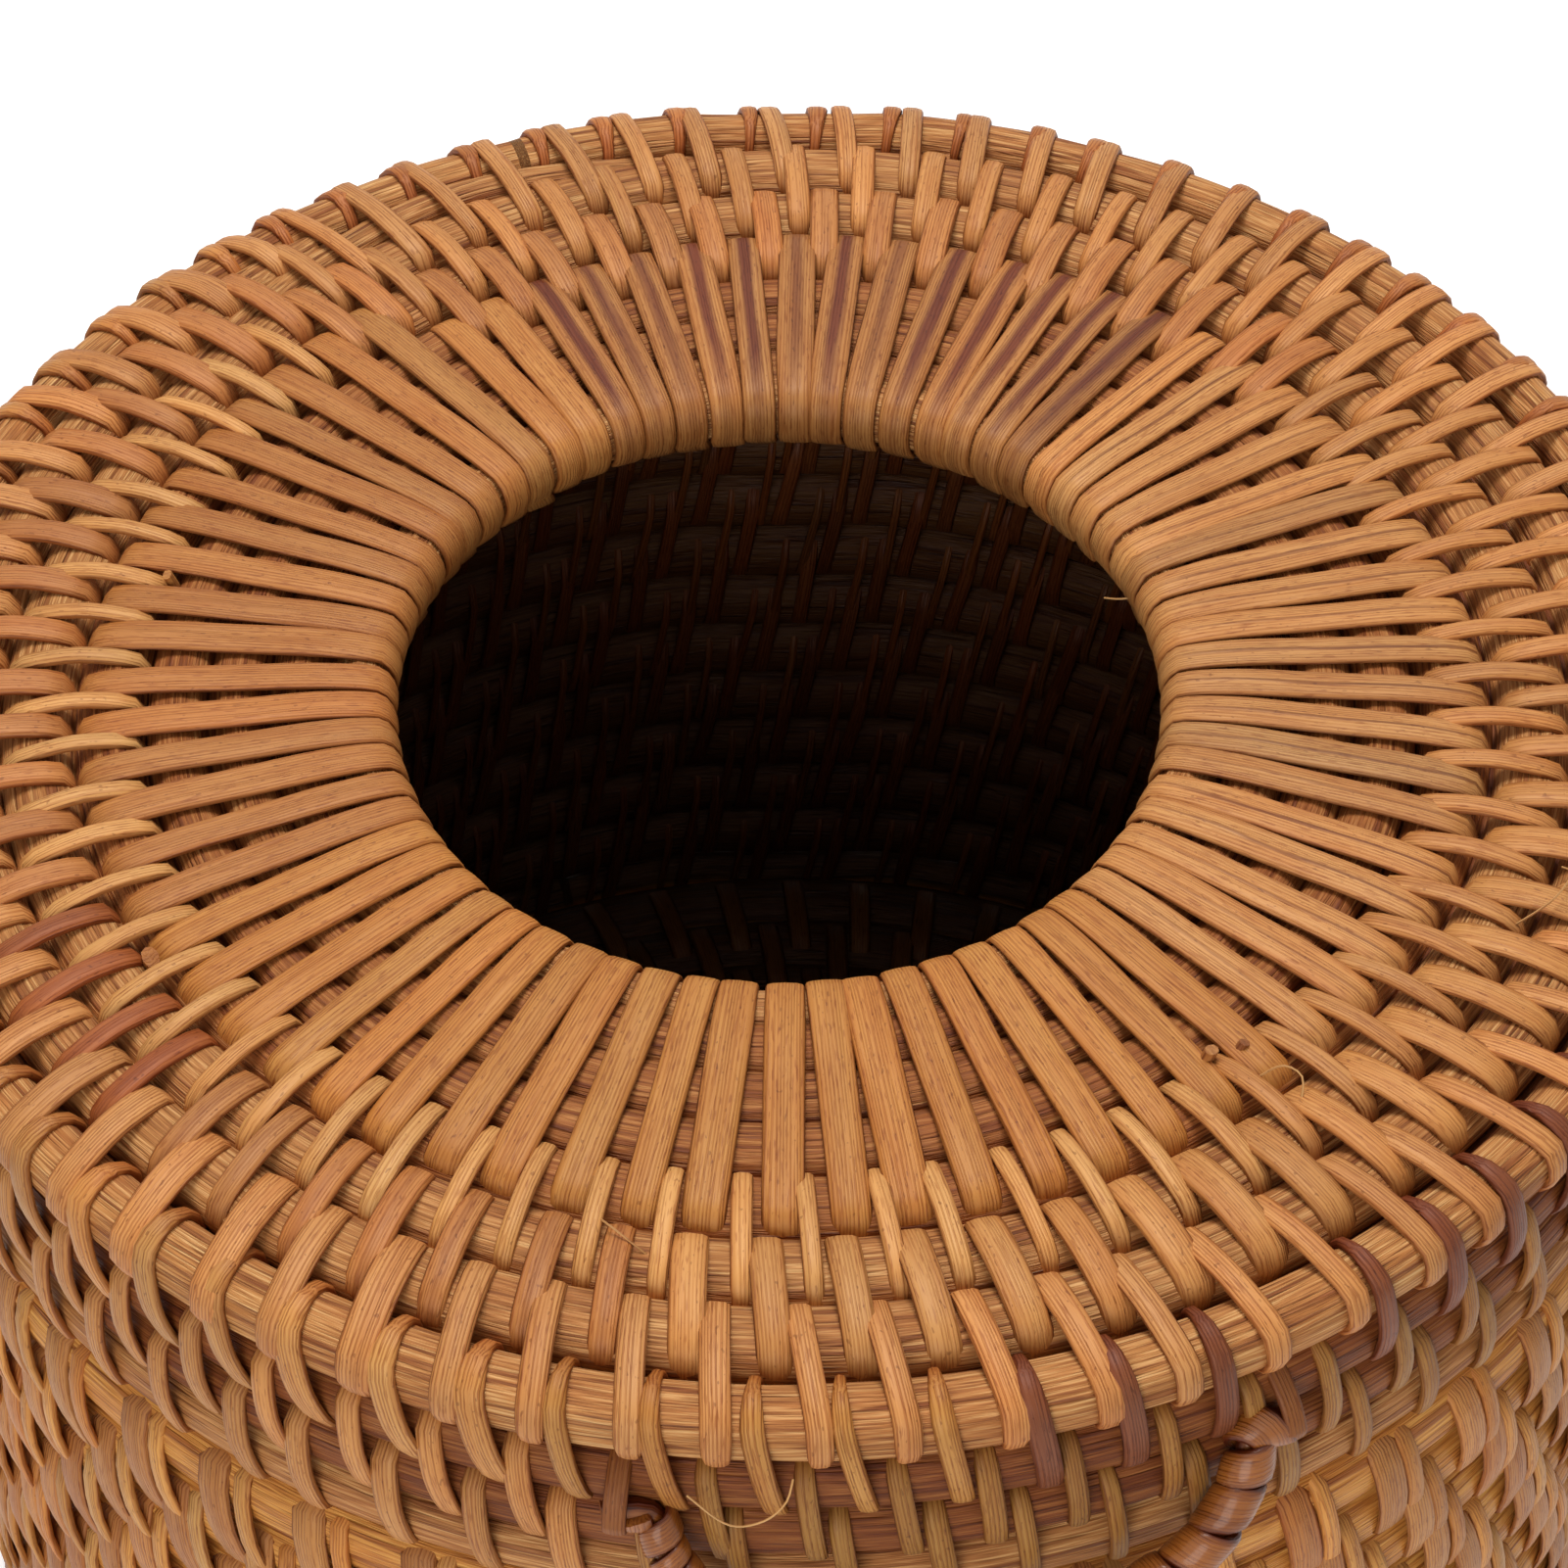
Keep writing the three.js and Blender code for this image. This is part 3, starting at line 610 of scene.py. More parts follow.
def strip_material(name, roughness, relief, coat, joint, stained=(0.82, 0.66, 0.52)):
    """Split cane's finish. Its joint is how dark the painted shade along the strip's edges is."""
    material, tree = start_material(name)
    place = tree.attribute("straight", "Vector")
    tint = tree.attribute("tint", "Color")
    mark = tree.attribute("mark", "Fac")
    ribbed = tree.attribute("ribs", "Fac")
    side, _, _ = tree.parts(tree.attribute("rim", "Vector"))
    off_middle = tree.math("ABSOLUTE", side)

    wander = fibre_noise(tree, place, 0.9 * MM, 25 * MM, 0.0)
    across, _, _ = tree.parts(place)
    ribs = tree.math("SINE", across * (2 * math.pi / RIB_PITCH) + wander * 14) * 0.5 + 0.5
    strength = tree.clamped(fibre_noise(tree, place, 0.3 * MM, 12 * MM, 0.0), 0.22, 0.52) * ribbed
    lines = 1 - (1 - tree.clamped(ribs, 0.0, 0.6)) * strength
    threads = fibre_noise(tree, place, 0.07 * MM, 6 * MM, 1.0)
    dashes = fibre_noise(tree, place, 0.11 * MM, 1.3 * MM, 0.0)
    stain = fibre_noise(tree, place, 1.3 * MM, 9 * MM)
    specks = fibre_noise(tree, place, 0.22 * MM, 0.5 * MM, 0.0)
    # Painted shade: a mask towards the strip's edges, for the contact shadow where it meets its
    # neighbours.
    edge = tree.clamped(off_middle, 1 - 0.4 * joint, 1.0)
    middle = tree.math("ABSOLUTE", side + (stain - 0.5) * 0.4)
    streak = (1 - tree.clamped(middle, 0.05, 0.5)) * tree.math("MAXIMUM", mark, 0.0)
    groove = (1 - tree.clamped(middle, 0.02, 0.13)) * tree.math("MAXIMUM", 0 - mark, 0.0)

    layers = [
        ((1 - lines) * 0.75, (0.6, 0.4, 0.26)),
        (tree.clamped(dashes, 0.6, 0.74) * 0.55, (0.5, 0.3, 0.18)),
        (tree.clamped(threads, 0.45, 0.7) * 0.3, (1.25, 1.3, 1.3)),
        (tree.clamped(stain, 0.35, 0.75) * 0.6, stained),
        (tree.clamped(specks, 0.76, 0.82) * 0.5, (0.3, 0.18, 0.11)),
        # Painted shade: the rounded sides darken away from the middle, and the edges darken further by
        # the joint.
        (tree.clamped(off_middle, 0.35, 1.0) * 0.7, (0.8, 0.67, 0.54)),
        (edge * joint, (0.3, 0.13, 0.07)),
        (streak, (0.33, 0.17, 0.17)),
        (groove, (0.3, 0.17, 0.12)),
    ]
    colour = tint
    for amount, shade in layers:
        colour = tree.mix(amount, colour, (*shade, 1), "MULTIPLY")
    height = lines * 0.75 + threads * 0.25 - groove
    bump = tree.add("ShaderNodeBump", {}, {"Strength": 1.0, "Distance": relief, "Height": height})
    # The base colour gets painted shade where the strip faces the inside of the box.
    surface = {
        "Base Color": painted_inner_shade(tree, colour, (0.42, 0.38, 0.42)),
        "Roughness": roughness + stain * 0.15,
        "Specular IOR Level": 0.25,
        "Normal": bump,
        "Coat Weight": coat,
        "Coat Roughness": 0.18,
    }
    skin = tree.add("ShaderNodeBsdfPrincipled", {}, surface)
    tree.add("ShaderNodeOutputMaterial", {}, {"Surface": skin})
    return material


STRIP = strip_material("split_cane", 0.42, 0.07 * MM, 0.0, 0.5)
rng = np.random.default_rng(7)


def belt(first, second, seat, slack=0.3 * MM):
    """A strip's middle line round two rods, in the plane of radius and height. It starts behind the
    first rod and comes over the side that shows, which is on the left of the way to the second.
    Each rod is its radius from the axis, its height and its thickness. The strip bows a little."""
    (ra, za, ta), (rb, zb, tb) = first, second
    apart = math.hypot(rb - ra, zb - za)
    heading = math.atan2(zb - za, rb - ra)
    lean = math.asin((tb - ta) / 2 / apart)
    path, out = [], []

    def go_round(radius, height, thick, degrees):
        for turn in degrees:
            tilt = lean if 0 < turn < 180 else -lean if turn < 0 else 0
            facing = heading + math.radians(turn) + tilt
            away = thick / 2 + seat
            path.append((radius + away * math.cos(facing), height + away * math.sin(facing)))
            out.append((math.cos(facing), math.sin(facing)))

    go_round(ra, za, ta, (180, 150, 120))
    shares = (0.5,) if apart < 12 * MM else (0.16, 0.5, 0.84)
    for share in shares:
        middle = (ra + (rb - ra) * share, za + (zb - za) * share, ta + (tb - ta) * share + 2 * slack)
        go_round(*middle, (90,))
    go_round(rb, zb, tb, (60, 30, 0, -45, -90))
    go_round(ra, za, ta, (-90, -135))
    return np.array(path), np.array(out)


def half_plane(angles, flat):
    """Points or directions in the plane of radius and height, turned to their angles."""
    turn = np.radians(angles)
    return np.stack([flat[:, 0] * np.sin(turn), -flat[:, 0] * np.cos(turn), flat[:, 1]], axis=-1)


RUNS_END = 222.5  # degrees, where the lid's rows step inwards


def run_at(angle, runs):
    """What a row of strips is like at an angle. Each of its runs is an end angle, a colour, a width
    in mm where it varies, and a mark."""
    turned = (angle - RUNS_END) % 360 + RUNS_END - 360
    return next(run for run in runs if turned < run[0])


def varied(tint, spread=0.1):
    level = 1 + spread * rng.standard_normal()
    warmth = 1 + 0.4 * spread * rng.standard_normal()
    return np.clip(np.array(tint) * (level * warmth, level, level / warmth), 0.01, 0.95)


# The binding of the opening: one strip that winds round all the inner rods of the lid, turn by
# turn, and lies tight at the opening's edge. It is one unbroken length, tucked in where it ends.
BINDING_TURNS = 70
BINDING_THICKNESS = 0.62 * MM
BINDING_RUNS = [
    (-60, (0.47, 0.185, 0.046), 0.1),
    (45, (0.52, 0.215, 0.048), 0.1),
    (138, (0.55, 0.25, 0.076), -0.8),
    (205, (0.465, 0.2, 0.057), 1.25),
    (RUNS_END, (0.47, 0.2, 0.052), 0.0),
]
# Point by point along a turn: its width, its streak, and its way across to the next turn.
BINDING_TAPER = np.array([0.84, 0.95, 1, 1, 1, 1, 1, 1, 1, 1, 1, 1, 0.75])
BINDING_STREAK = np.array([0.4, 0.8, 1, 1, 1, 0.8, 0.4, 0.3, 0.3, 0.3, 0.3, 0.3, 0.3])
BINDING_CROSSING = np.array([0, 0, 0, 0, 0, 0, 0, 0, 0, 0, 0.04, 0.96, 1])


def binding_cane():
    path, out, width, tint, mark = [], [], [], [], []
    pitch = 360 / BINDING_TURNS
    for turn in range(BINDING_TURNS):
        share = (turn + 0.5) / BINDING_TURNS
        angle = LID_STEP_ANGLE + 360 * share
        outer = [float(value) for value in top_coil(np.float64(2 + share))]
        flat, facing = belt(opening_rod(angle), outer, BINDING_THICKNESS / 2, 0.1 * MM)
        flat, facing = np.roll(flat[::-1], -4, axis=0), np.roll(facing[::-1], -4, axis=0)
        angles = angle + pitch * BINDING_CROSSING + 0.3 * rng.standard_normal()
        path.append(half_plane(angles, flat))
        out.append(half_plane(angles, facing))
        room = 2 * math.pi * flat[:, 0] / BINDING_TURNS - 0.1 * MM
        full = 3.05 * MM * (1 + 0.06 * rng.standard_normal())
        width.append(np.minimum(full * BINDING_TAPER, room))
        _, colour, streak = run_at(angle, BINDING_RUNS)
        tint.append(np.tile(varied(colour, 0.07), (len(flat), 1)))
        mark.append(streak * rng.uniform(0.5, 1.1) * BINDING_STREAK)
    path, out, width, tint, mark = map(np.concatenate, (path, out, width, tint, mark))
    return cane(path, out, width, BINDING_THICKNESS, tint, mark, 0.7)


split = (0.03 * MM, 0.3 * MM)
binding = sweep_canes("opening_binding_strip", [binding_cane()], STRIP, 0.9 * MM, 12, 0.7, split)
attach(binding, "lid")
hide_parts("opening_binding")


# The lid's stitches: strips that each cross two rods and are drawn through beside the row inside.
# Three rows lie on the top, the third over the rim, and three lean down the skirt.
STITCHES = 70
GOLDEN = (0.57, 0.255, 0.074)
PALE = (0.64, 0.315, 0.1)
TAN = (0.58, 0.255, 0.076)
REDDISH = (0.53, 0.215, 0.062)
PURPLE = (0.22, 0.065, 0.022)
RIBBED = (0.62, 0.275, 0.085)
FIRST_RUNS = [(35, PALE, 1.6, 0.0), (130, TAN, 1.8, 0.2), (RUNS_END, REDDISH, 2.5, 0.2)]
SECOND_RUNS = [
    (-65, (0.5, 0.2, 0.058), 2.6, 0.1),
    (-44, (0.38, 0.11, 0.028), 2.0, 0.3),
    (-10, REDDISH, 2.2, 0.3),
    (80, GOLDEN, 2.7, 0.0),
    (RUNS_END, TAN, 2.0, 0.1),
]
THIRD_RUNS = [
    (-20, RIBBED, 2.6, 0.1),
    (70, RIBBED, 2.05, 0.1),
    (135, (0.66, 0.3, 0.098), 2.05, 0.1),
    (RUNS_END, (0.58, 0.27, 0.088), 2.05, 0.1),
]
FOURTH_RUNS = [
    (-15, (0.55, 0.26, 0.075), 2.2, 0.0),
    (10, (0.5, 0.225, 0.053), 1.7, 0.0),
    (60, PURPLE, 1.8, 0.1),
    (RUNS_END, REDDISH, 1.9, 0.1),
]
LOWER_RUNS = [
    (-10, GOLDEN, 2.0, 0.0),
    (60, (0.38, 0.175, 0.038), 1.6, 0.0),
    (RUNS_END, TAN, 1.8, 0.1),
]
# A stitch's width, point by point. It also sets the painted shade towards the strip's tucked-in ends.
TOP_TAPER = np.array([0.7, 0.9, 1, 1, 1, 1, 0.94, 0.62, 0.5, 0.5, 0.5])
SIDE_TAPER = np.array([0.75, 0.95, 1, 1, 1, 0.97, 0.85, 0.6, 0.5, 0.5, 0.5])


def length_so_far(path):
    return np.concatenate([[0], np.cumsum(np.linalg.norm(np.diff(path, axis=0), axis=1))])


def stitch(angle, first, second, lean, width, thickness, tint, mark=0.0, ribs=0.5, taper=TOP_TAPER):
    """A strip drawn round two rods, leaning by an angle. Where tucked in it narrows and is painted darker
    as shade.
    """
    path, out = belt(first, second, thickness / 2)
    gone = length_so_far(path)
    share = gone / (gone[-1] + np.linalg.norm(path[0] - path[-1]))
    angles = angle - 0.5 * lean * np.cos(2 * math.pi * share)
    path, out = half_plane(angles, path), half_plane(angles, out)
    # Painted shade: the colour darkens and reddens with the taper, least in red and most in blue.
    tint = tint * np.power(taper[:, None], (0.35, 0.8, 1.1))
    return cane(path, out, width * taper, thickness, tint, mark, ribs, closed=True)


def rod_in_row(coil, row, step_angle, way):
    """A coiled rod in one of its rows: its radius, height and thickness, by angle."""

    def at(angle):
        turns = row + (way * (angle - step_angle) % 360) / 360
        return tuple(float(value) for value in coil(np.float64(turns)))

    return at


def top_row(row):
    return rod_in_row(top_coil, row, LID_STEP_ANGLE, 1)


def skirt_row(row):
    return rod_in_row(skirt_coil, row, LID_STEP_ANGLE, -1)


def hoop_rod(height, thick):
    """The same for a rod that is closed to a hoop."""
    return lambda angle: (float(wall_radius(angle)), height, thick)


rim_rod = hoop_rod(rim_height, RIM_ROD)
edge_rod = hoop_rod(edge_height, EDGE_ROD)
STITCH_SETS = [
    (top_row(2), top_row(1), 0.5, 0.6, FIRST_RUNS, 0.7, TOP_TAPER),
    (top_row(1), top_row(0), 0.95, 0.8, SECOND_RUNS, 0.6, TOP_TAPER),
    (top_row(0), rim_rod, 1.4, 1.2, THIRD_RUNS, 0.85, TOP_TAPER),
    (rim_rod, skirt_row(0), 1.85, 1.45, FOURTH_RUNS, 0.9, SIDE_TAPER),
    (skirt_row(0), skirt_row(1), 2.3, 0.95, LOWER_RUNS, 0.8, SIDE_TAPER),
    (skirt_row(1), edge_rod, 2.75, 0.95, LOWER_RUNS, 0.8, SIDE_TAPER),
]


def near_any(angle, places, reach):
    return any(abs((angle - place + 180) % 360 - 180) < reach for place in places)


def add_strips(name, strips, body, step, sides, roundness=0.75, split=(0.0, 0.4 * MM)):
    piece = sweep_canes(name, strips, STRIP, step, sides, roundness, split)
    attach(piece, body)


LOOP_TIES = (-9.45, 27.95)
HINGE_RINGS = (174.9, 185.1)
lid_stitches = []
for number, (first, second, shift, lean, runs, ribs, taper) in enumerate(STITCH_SETS):
    for count in range(STITCHES):
        angle = LID_STEP_ANGLE + (count + 0.5 + shift + 0.05 * rng.standard_normal()) * 360 / STITCHES
        at_tie = number in (3, 4) and near_any(angle, LOOP_TIES, 1.2)
        at_ring = number == 5 and near_any(angle, HINGE_RINGS, 1.9)
        if at_tie or at_ring:
            continue
        _, colour, width, mark = run_at(angle, runs)
        width = width * MM * (1 + 0.06 * rng.standard_normal())
        tilt = lean * (1 + 0.15 * rng.standard_normal())
        rods = first(angle), second(angle)
        strip = stitch(angle, *rods, tilt, width, 0.75 * MM, varied(colour, 0.055), mark, ribs, taper)
        lid_stitches.append(strip)
add_strips("lid_stitches", lid_stitches, "lid", 1.15 * MM, 9, 0.78)


# Cut ends of spliced strips stick up a little between the stitches, and a few fibres have sprung
# loose, one of them at the opening's edge.
def cut_end(angle, radius, height, lean, width, tint):
    """A short strip end that rises and leans by an angle."""
    rise = np.linspace(0, 1, 4)
    path = on_circle(angle + lean * rise, radius * MM + 0.5 * MM * rise, (height + 2.6 * rise) * MM)
    out = np.tile(outwards(angle), (4, 1))
    return cane(path, out, width * (1 - 0.2 * rise), 0.6 * width, tint, 0.3)


def loose_fibre(points, thick=0.16 * MM):
    """A fibre through points given by their angle, radius and height."""
    path = np.array([on_circle(angle, radius * MM, height * MM) for angle, radius, height in points])
    out = np.tile(outwards(points[0][0]), (len(path), 1))
    return cane(path, out, thick, thick, (0.62, 0.36, 0.14))


cut_ends = [
    cut_end(-58, 55.3, 97.2, 1.2, 2.1 * MM, (0.4, 0.15, 0.035)),
    cut_end(-102, 49.6, 97.6, 0.8, 1.2 * MM, (0.5, 0.22, 0.06)),
    cut_end(-50, 64.6, 96.8, -1.4, 1.5 * MM, (0.16, 0.055, 0.022)),
    cut_end(36, 49.9, 97.8, 0.6, 1.5 * MM, (0.46, 0.2, 0.06)),
    cut_end(38, 50.6, 97.4, 1.5, 1.2 * MM, (0.3, 0.11, 0.035)),
]
fibres = [
    loose_fibre([(110, 31.2, 97.5), (111, 30, 96.4), (113, 28.8, 95.6), (115, 28, 95.2)]),
    loose_fibre([(38.2, 54, 99.8), (39.4, 55, 101), (40, 56.4, 100.6), (39, 57.4, 99.2)]),
    loose_fibre([(-14, 56, 99), (-13, 57.2, 100.2), (-11, 58.2, 99.8), (-9.5, 58.6, 98.8)]),
    loose_fibre(
        [(-5.6, 73.4, 92.4), (-3.4, 75, 91.6), (-1.6, 75.4, 92.6), (-0.4, 74.6, 93.6), (0, 73.2, 94.4)]
    ),
    loose_fibre([(63, 60, 99), (64.5, 62, 101), (67, 62.6, 101.4), (69, 61.5, 99.6)]),
]
add_strips("loose_ends", cut_ends + fibres, "lid", 0.5 * MM, 8, 0.9, (0.04 * MM, 0.4 * MM))


# The box's wall: a foot rod, a long rod wound in level rows, and an edge rod under the lid.
# The rows lie close, so the rods are a little taller than they are thick.
BOX_STEP_ANGLE = 112.5
foot_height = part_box("foot_rod")[1].z / 2
box_edge_height = middle_height("box_edge_rod")
WALL_ROWS = 10
wall_pitch = (box_edge_height - foot_height) / (WALL_ROWS + 1)
WALL_ROD = 5 * MM
WALL_MIDDLE = 38.11  # mm, as the skirt's
FOOT_RISE = 0.6 * MM  # above the solid, to close the seam over it


def wall_coil(turns):
    height = box_edge_height - (row_after(turns) + 0.5) * wall_pitch
    room = np.minimum(box_edge_height - height, height - foot_height) - WALL_ROD / 2
    return wall_radius(BOX_STEP_ANGLE - 360 * turns), height, shaved(WALL_ROD, room)


box_edge_cane = hoop(box_edge_height, WALL_ROD, 6 * MM, round_at_hinge=True)
add_rod("box_edge_rod", [box_edge_cane], BOX_CORE, "box")
foot_cane = hoop(foot_height + FOOT_RISE / 2, WALL_ROD, 2 * foot_height + FOOT_RISE)
add_rod("foot_rod", [foot_cane], BOX_CORE, "box")
wall_gap = np.array([70.7, 69.95, 68.4, 65.75])
# Painted shade: this filler in the gap under the edge rod is tinted darker, for the shade in the gap.
seam = filling(WALL_RADIUS, box_edge_height - 3.1 * MM, 1.6 * MM, 3 * MM, (0.6, 0.5, 0.4))
wall_spread = 1.005 * wall_pitch / WALL_ROD  # the rows just touch
wall_parts = {"upper": (0, 3), "middle": (3, 7), "lower": (7, WALL_ROWS)}
for part, (first, last) in wall_parts.items():
    lengths = [coiled_rod(wall_coil, -1, BOX_STEP_ANGLE, first, last, False, spread=wall_spread)]
    if first == 0:
        lengths.append(seam)
        lengths.append(laid_in(BOX_STEP_ANGLE, -1, wall_gap, gap_width))
    if last == WALL_ROWS:
        lengths.append(laid_in(BOX_STEP_ANGLE, 1, 2 * WALL_MIDDLE - wall_gap, gap_width))
    add_rod(f"wall_coil_{part}", lengths, BOX_CORE, "box", 14, (0.12 * MM, 0.8 * MM))


# The wall's stitches come in groups: a broad grooved strip, a narrower pale one beside it, and
# now and then a dark or a beige one, each over two rows, with bare rod between the groups.
GROUPS = 55
WALL_PAIRS = [
    ((0.54, 0.225, 0.06), (0.66, 0.31, 0.075)),
    ((0.6, 0.27, 0.075), (0.6, 0.25, 0.055)),
    ((0.44, 0.175, 0.045), (0.66, 0.35, 0.105)),
]


def wall_row(row):
    """The box's rod in a row, by angle, counted down from the edge rod."""
    if row == 0:
        return hoop_rod(box_edge_height, WALL_ROD)
    if row == WALL_ROWS + 1:
        return hoop_rod(foot_height, 2 * foot_height)
    return rod_in_row(wall_coil, row - 1, BOX_STEP_ANGLE, -1)


def clear_of_floor(strip, least):
    """A strip under the lowest rods lies flat on the table, and doesn't go below it."""
    strip["path"][:, 2] = np.maximum(strip["path"][:, 2], least)
    return strip


def wall_strips(first_row, last_row):
    strips = []
    for row in range(first_row, last_row):
        upper, lower = wall_row(row), wall_row(row + 1)
        for group in range(GROUPS):
            place = group + 0.5 + 0.42 * row + 0.05 * rng.standard_normal()
            start = BOX_STEP_ANGLE + place * 360 / GROUPS
            if row == 0 and near_any(start + 1, HINGE_RINGS, 3):
                continue
            broad, narrow = WALL_PAIRS[rng.choice(3, p=(0.5, 0.35, 0.15))]
            for shift, width, tint in ((0, 2.9 * MM, broad), (1.85, 1.6 * MM, narrow)):
                angle = start + shift + 0.1 * rng.standard_normal()
                rods = upper(angle), lower(angle)
                tilt = 1.5 + 0.2 * rng.standard_normal()
                looks = varied(tint, 0.08), 0.1, 0.8, SIDE_TAPER
                strip = stitch(angle, *rods, tilt, width, 0.6 * MM, *looks)
                strips.append(clear_of_floor(strip, 0.35 * MM))
    return strips


for part, (first, last) in {"upper": (0, 5), "lower": (5, WALL_ROWS + 1)}.items():
    add_strips(f"wall_stitches_{part}", wall_strips(first, last), "box", 2.1 * MM, 8)


# The base: a rod wound inwards from the foot to the small knot that it was started on, held by
# strips that each cross two turns.
BASE_ROWS = 10
BASE_ROD = 4.7 * MM
KNOT_RADIUS = 6 * MM
base_start = WALL_RADIUS - (WALL_ROD + BASE_ROD) / 2 - 1.2 * MM
base_pitch = (base_start - KNOT_RADIUS - 0.8 * MM) / (BASE_ROWS - 0.5)
base_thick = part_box("base_coil_outer")[1].z


def base_coil(turns):
    radius = base_start - (row_after(turns) - 0.5) * base_pitch
    room = np.minimum(WALL_RADIUS - WALL_ROD / 2 - radius, radius - KNOT_RADIUS)
    thick = shaved(base_thick, room)
    return radius, thick / 2, thick


BASE_TINT = (0.9, 0.85, 0.8)
outer_fill = filling(67.1 * MM, 1.5 * MM, 1.8 * MM, 2 * MM, BASE_TINT)
inner_fill = filling(7.8 * MM, 1.6 * MM, 2.6 * MM, 4.2 * MM, BASE_TINT)
base_parts = {"outer": (0, 5, outer_fill), "inner": (5, BASE_ROWS, inner_fill)}
for part, (first, last, fill) in base_parts.items():
    length = coiled_rod(base_coil, -1, BOX_STEP_ANGLE, first, last, True, BASE_TINT, 1.5)
    add_rod(f"base_coil_{part}", [length, fill], BOX_CORE, "box", 12)


STITCH_GAP = 6.2 * MM
base_stitches = []
for row in range(1, BASE_ROWS):
    inner, outer = (rod_in_row(base_coil, r, BOX_STEP_ANGLE, -1) for r in (row, row - 1))
    around = max(7, round(2 * math.pi * inner(0)[0] / STITCH_GAP))
    for count in range(around):
        angle = (count + 0.37 * row) * 360 / around
        tilt = 60 * MM / max(inner(angle)[0], 8 * MM)
        rods = inner(angle), outer(angle)
        strip = stitch(angle, *rods, tilt, 2.2 * MM, 0.5 * MM, varied(WALL_PAIRS[1][1]), 0.1)
        base_stitches.append(clear_of_floor(strip, 0.3 * MM))
add_strips("base_stitches", base_stitches, "box", 2.4 * MM, 6)


# The knot that the base starts on is a short rod end wound in split cane. The CAD solid has its
# shape, and gets the core's finish.
def knot_material():
    material, tree = start_material("knot_cane")
    place = tree.add("ShaderNodeTexCoord", {}, {}).out("Object")
    winding = {"wave_type": "RINGS", "rings_direction": "Z"}
    rings = tree.add("ShaderNodeTexWave", winding, {"Vector": place, "Scale": 500.0})
    pores = tree.add("ShaderNodeTexNoise", {}, {"Vector": place, "Scale": 2500.0, "Detail": 2.0})
    stops = [(0.2, (0.2, 0.08, 0.025)), (0.8, (0.5, 0.24, 0.08))]
    grain = rings * 0.4 + pores * 0.6
    colour = tree.add("ShaderNodeValToRGB", {"stops": stops}, {"Fac": grain})
    finish_material(tree, colour, 0.6 + pores * 0.2, grain, 0.2 * MM)
    return material


knot_slots = frame["nodes"]["base_start_knot"].data.materials
knot_slots.clear()
knot_slots.append(knot_material())


# The hinge is two strips of split cane at the back. Each is closed to a ring round the lid's edge
# rod and the box's, held by the box's rod, and the lid's rod turns in it.
HINGE_TINT = (0.33, 0.15, 0.05)
RING_THICKNESS = 0.62 * MM
RING_SEAT = 0.35 * MM
RING_SLACK = 0.5 * MM  # on a rod's thickness, so that it turns freely
RING_PLACE = 6.2 * MM  # along the hinge, from the middle


def add_ring(name, body, angle, along, rods, width, tint):
    """A strip closed round two rods that run side by side, and shifted along them."""
    flat, facing = belt(*rods, RING_SEAT)
    angles = np.full(len(flat), angle)
    path = half_plane(angles, flat) + on_circle(angles + 90.0, along, 0.0)
    ring = cane(path, half_plane(angles, facing), width, RING_THICKNESS, tint, closed=True)
    piece = sweep_canes(name + "_strip", [ring], STRIP, 0.7 * MM, 12, 0.7, (0.02 * MM, 0.3 * MM))
    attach(piece, body)
    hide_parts(name)


hinge_reach = WALL_RADIUS * math.cos(math.radians(HINGE_HALF_ANGLE))
turning_rod = hinge_reach, edge_height, EDGE_ROD + RING_SLACK
holding_rod = hinge_reach, box_edge_height, WALL_ROD + RING_SLACK
rods = turning_rod, holding_rod
for side, along in {"left": RING_PLACE, "right": -RING_PLACE}.items():
    add_ring(f"hinge_ring_{side}", "box", 180.0, along, rods, 2.4 * MM, HINGE_TINT)


# The pull loop: a thin cane bent to a shallow U, its ends turned into two ties on the row under
# the rim, and a dark glossy strip wound round it.
DARK_STRIP = (0.35, 0.11, 0.017)
TIE_TINT = (0.26, 0.088, 0.02)
LOOP_ANGLE = 9.25
LOOP_HALF_ANGLE = 18.7
LOOP_RADIUS = 75.98 * MM
LOOP_SAG = 12.5 * MM
LOOP_BEND = 1.5 * MM
LOOP_RISE = 9 * MM
LOOP_CORE = 1.9 * MM
LOOP_END = 1.1 * MM
POINT_GAP = 0.25 * MM
swing = next(joint for joint in frame["joints"] if joint["name"] == "loop_swing")
hinge_line = Vector(swing["pos_m"])
chord_distance = hinge_line.xy.length
tie_place = chord_distance * math.tan(math.radians(LOOP_HALF_ANGLE))
leg_place = tie_place - 1.3 * MM - LOOP_BEND


def loop_flat():
    """The loop laid flat: along its hinge line, and down from it."""
    bend = np.radians(np.linspace(-90, 0, 6))
    hang = np.radians(np.linspace(0, 180, 41))
    foot = leg_place + LOOP_BEND
    left = [(-tie_place - LOOP_END, 0), (-tie_place, 0)]
    left += [(-foot + LOOP_BEND * math.cos(a), LOOP_BEND + LOOP_BEND * math.sin(a)) for a in bend]
    depth = LOOP_SAG - LOOP_BEND
    bow = [(-leg_place * math.cos(a), LOOP_BEND + depth * math.sin(a) ** 1.25) for a in hang[1:-1]]
    right = [(-along, down) for along, down in left[::-1]]
    return np.array(left + bow + right)


def loop_line():
    """The loop as it hangs, bent round the box."""
    along, down = loop_flat().T
    out = np.sqrt(LOOP_RADIUS**2 - along**2) - chord_distance
    out = out * np.sin(np.minimum(1, down / LOOP_RISE) * math.pi / 2)
    angles = np.full(len(along), LOOP_ANGLE)
    middle = on_circle(angles, chord_distance + out, hinge_line.z - down)
    return middle + on_circle(angles + 90, along, 0.0)


def even_points(path, gap):
    gone = length_so_far(path)
    places = np.linspace(0, gone[-1], int(gone[-1] / gap) + 1)
    return np.stack([np.interp(places, gone, path[:, k]) for k in range(3)], axis=-1)


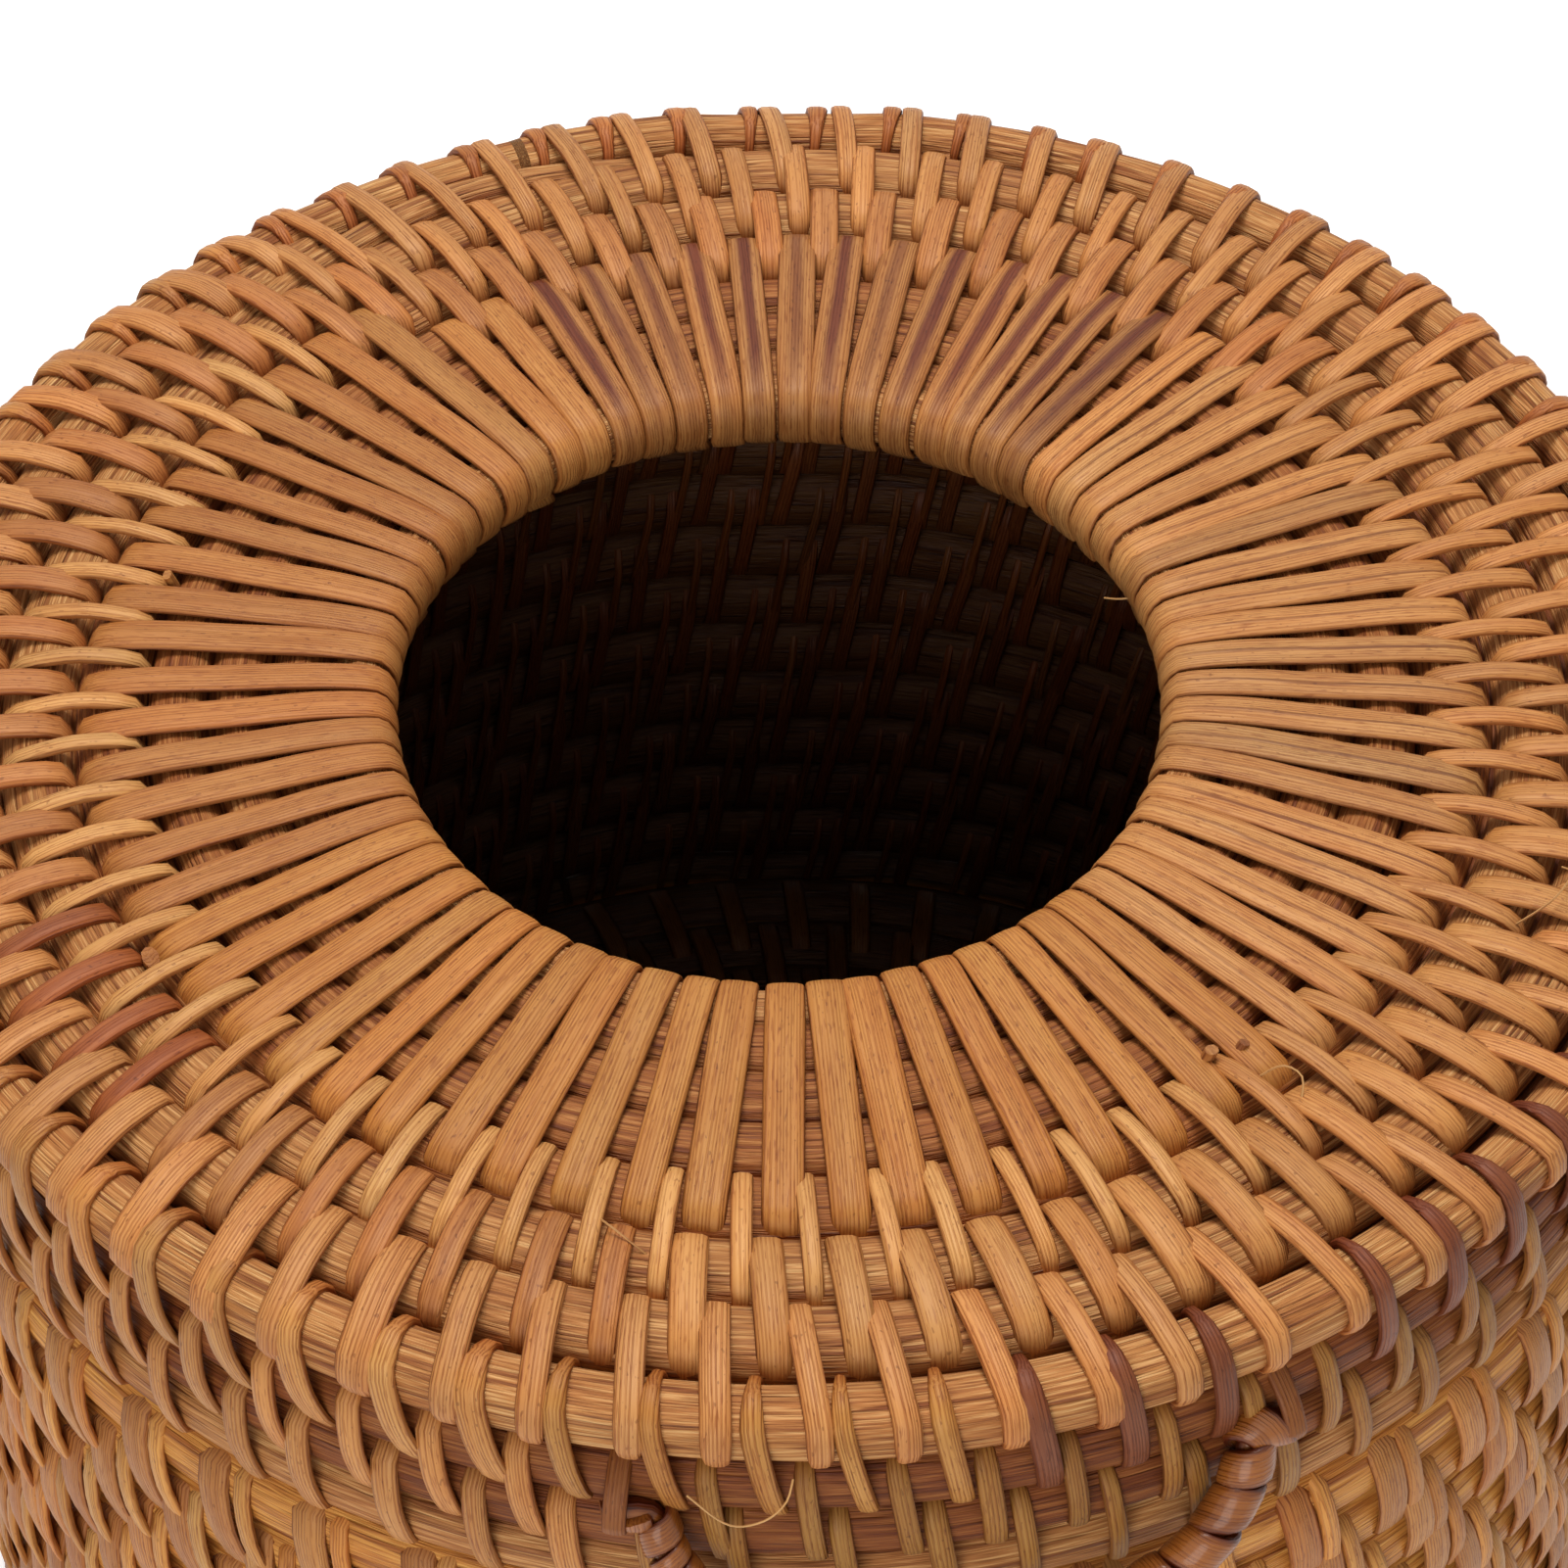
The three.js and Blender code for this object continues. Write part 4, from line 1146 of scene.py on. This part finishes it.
loop_middle = even_points(loop_line(), POINT_GAP)
core_out = np.tile(outwards(LOOP_ANGLE), (len(loop_middle), 1))
loop_core = cane(loop_middle[::4], core_out[::4], LOOP_CORE, LOOP_CORE, DARK_STRIP)
DARK = strip_material("dark_split_cane", 0.34, 0.1 * MM, 0.4, 1.0, (0.35, 0.22, 0.16))
core_piece = sweep_canes("loop_core_cane", [loop_core], DARK, 0.8 * MM, 12)
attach(core_piece, "pull_loop")
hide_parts("loop_core")


# The loop's winding is one dark split strip that goes round that cane from end to end, in uneven
# turns. They lie closer, and the strip is thinner, towards one end.
WRAP_PITCH = 3.4 * MM
WRAP_END = 2.2 * MM
heading = np.gradient(loop_middle, axis=0)
heading /= np.linalg.norm(heading, axis=1)[:, None]
side = core_out - (core_out * heading).sum(1)[:, None] * heading
side /= np.linalg.norm(side, axis=1)[:, None]
up = np.cross(heading, side)
gone = np.arange(len(loop_middle)) * POINT_GAP
wrapped = (gone > WRAP_END) & (gone < gone[-1] - WRAP_END)
share = np.clip((gone - 12 * MM) / (gone[-1] - 30 * MM), 0, 1)


def wave(length, shift=0):
    return np.sin(2 * math.pi * gone / (length * MM) + shift)


pitch = WRAP_PITCH * (0.7 + 0.3 * share) * (1 + 0.14 * wave(9.7) + 0.09 * wave(4.3, 1))
turn = 2 * math.pi * np.cumsum(POINT_GAP / pitch)
around = np.cos(turn)[:, None] * side + np.sin(turn)[:, None] * up
wrap_thick = (0.75 + 0.3 * share) * (0.93 + 0.07 * wave(6.1)) * MM
wrap_path = loop_middle + (LOOP_CORE / 2 + 0.45 * wrap_thick)[:, None] * around
sizes = (pitch - 0.25 * MM)[wrapped], wrap_thick[wrapped]
wrap = cane(wrap_path[wrapped], around[wrapped], *sizes, DARK_STRIP, ribs=0.6)
wrap_piece = sweep_canes("loop_wrap_strip", [wrap], DARK, 0.6 * MM, 10, 0.7)
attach(wrap_piece, "pull_loop")
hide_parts("loop_wrap")


# Each end of the loop hangs in a tie: a short dark strip closed round it and the skirt's upper
# row, as the hinge's rings are.
for hand, sign in {"left": -1, "right": 1}.items():
    tie_angle = LOOP_ANGLE + sign * LOOP_HALF_ANGLE
    loop_end = (chord_distance / math.cos(math.radians(LOOP_HALF_ANGLE)), hinge_line.z, LOOP_CORE)
    rods = skirt_row(0)(tie_angle), loop_end
    add_ring(f"loop_tie_{hand}", "lid", tie_angle, 0.0, rods, 1.7 * MM, TIE_TINT)
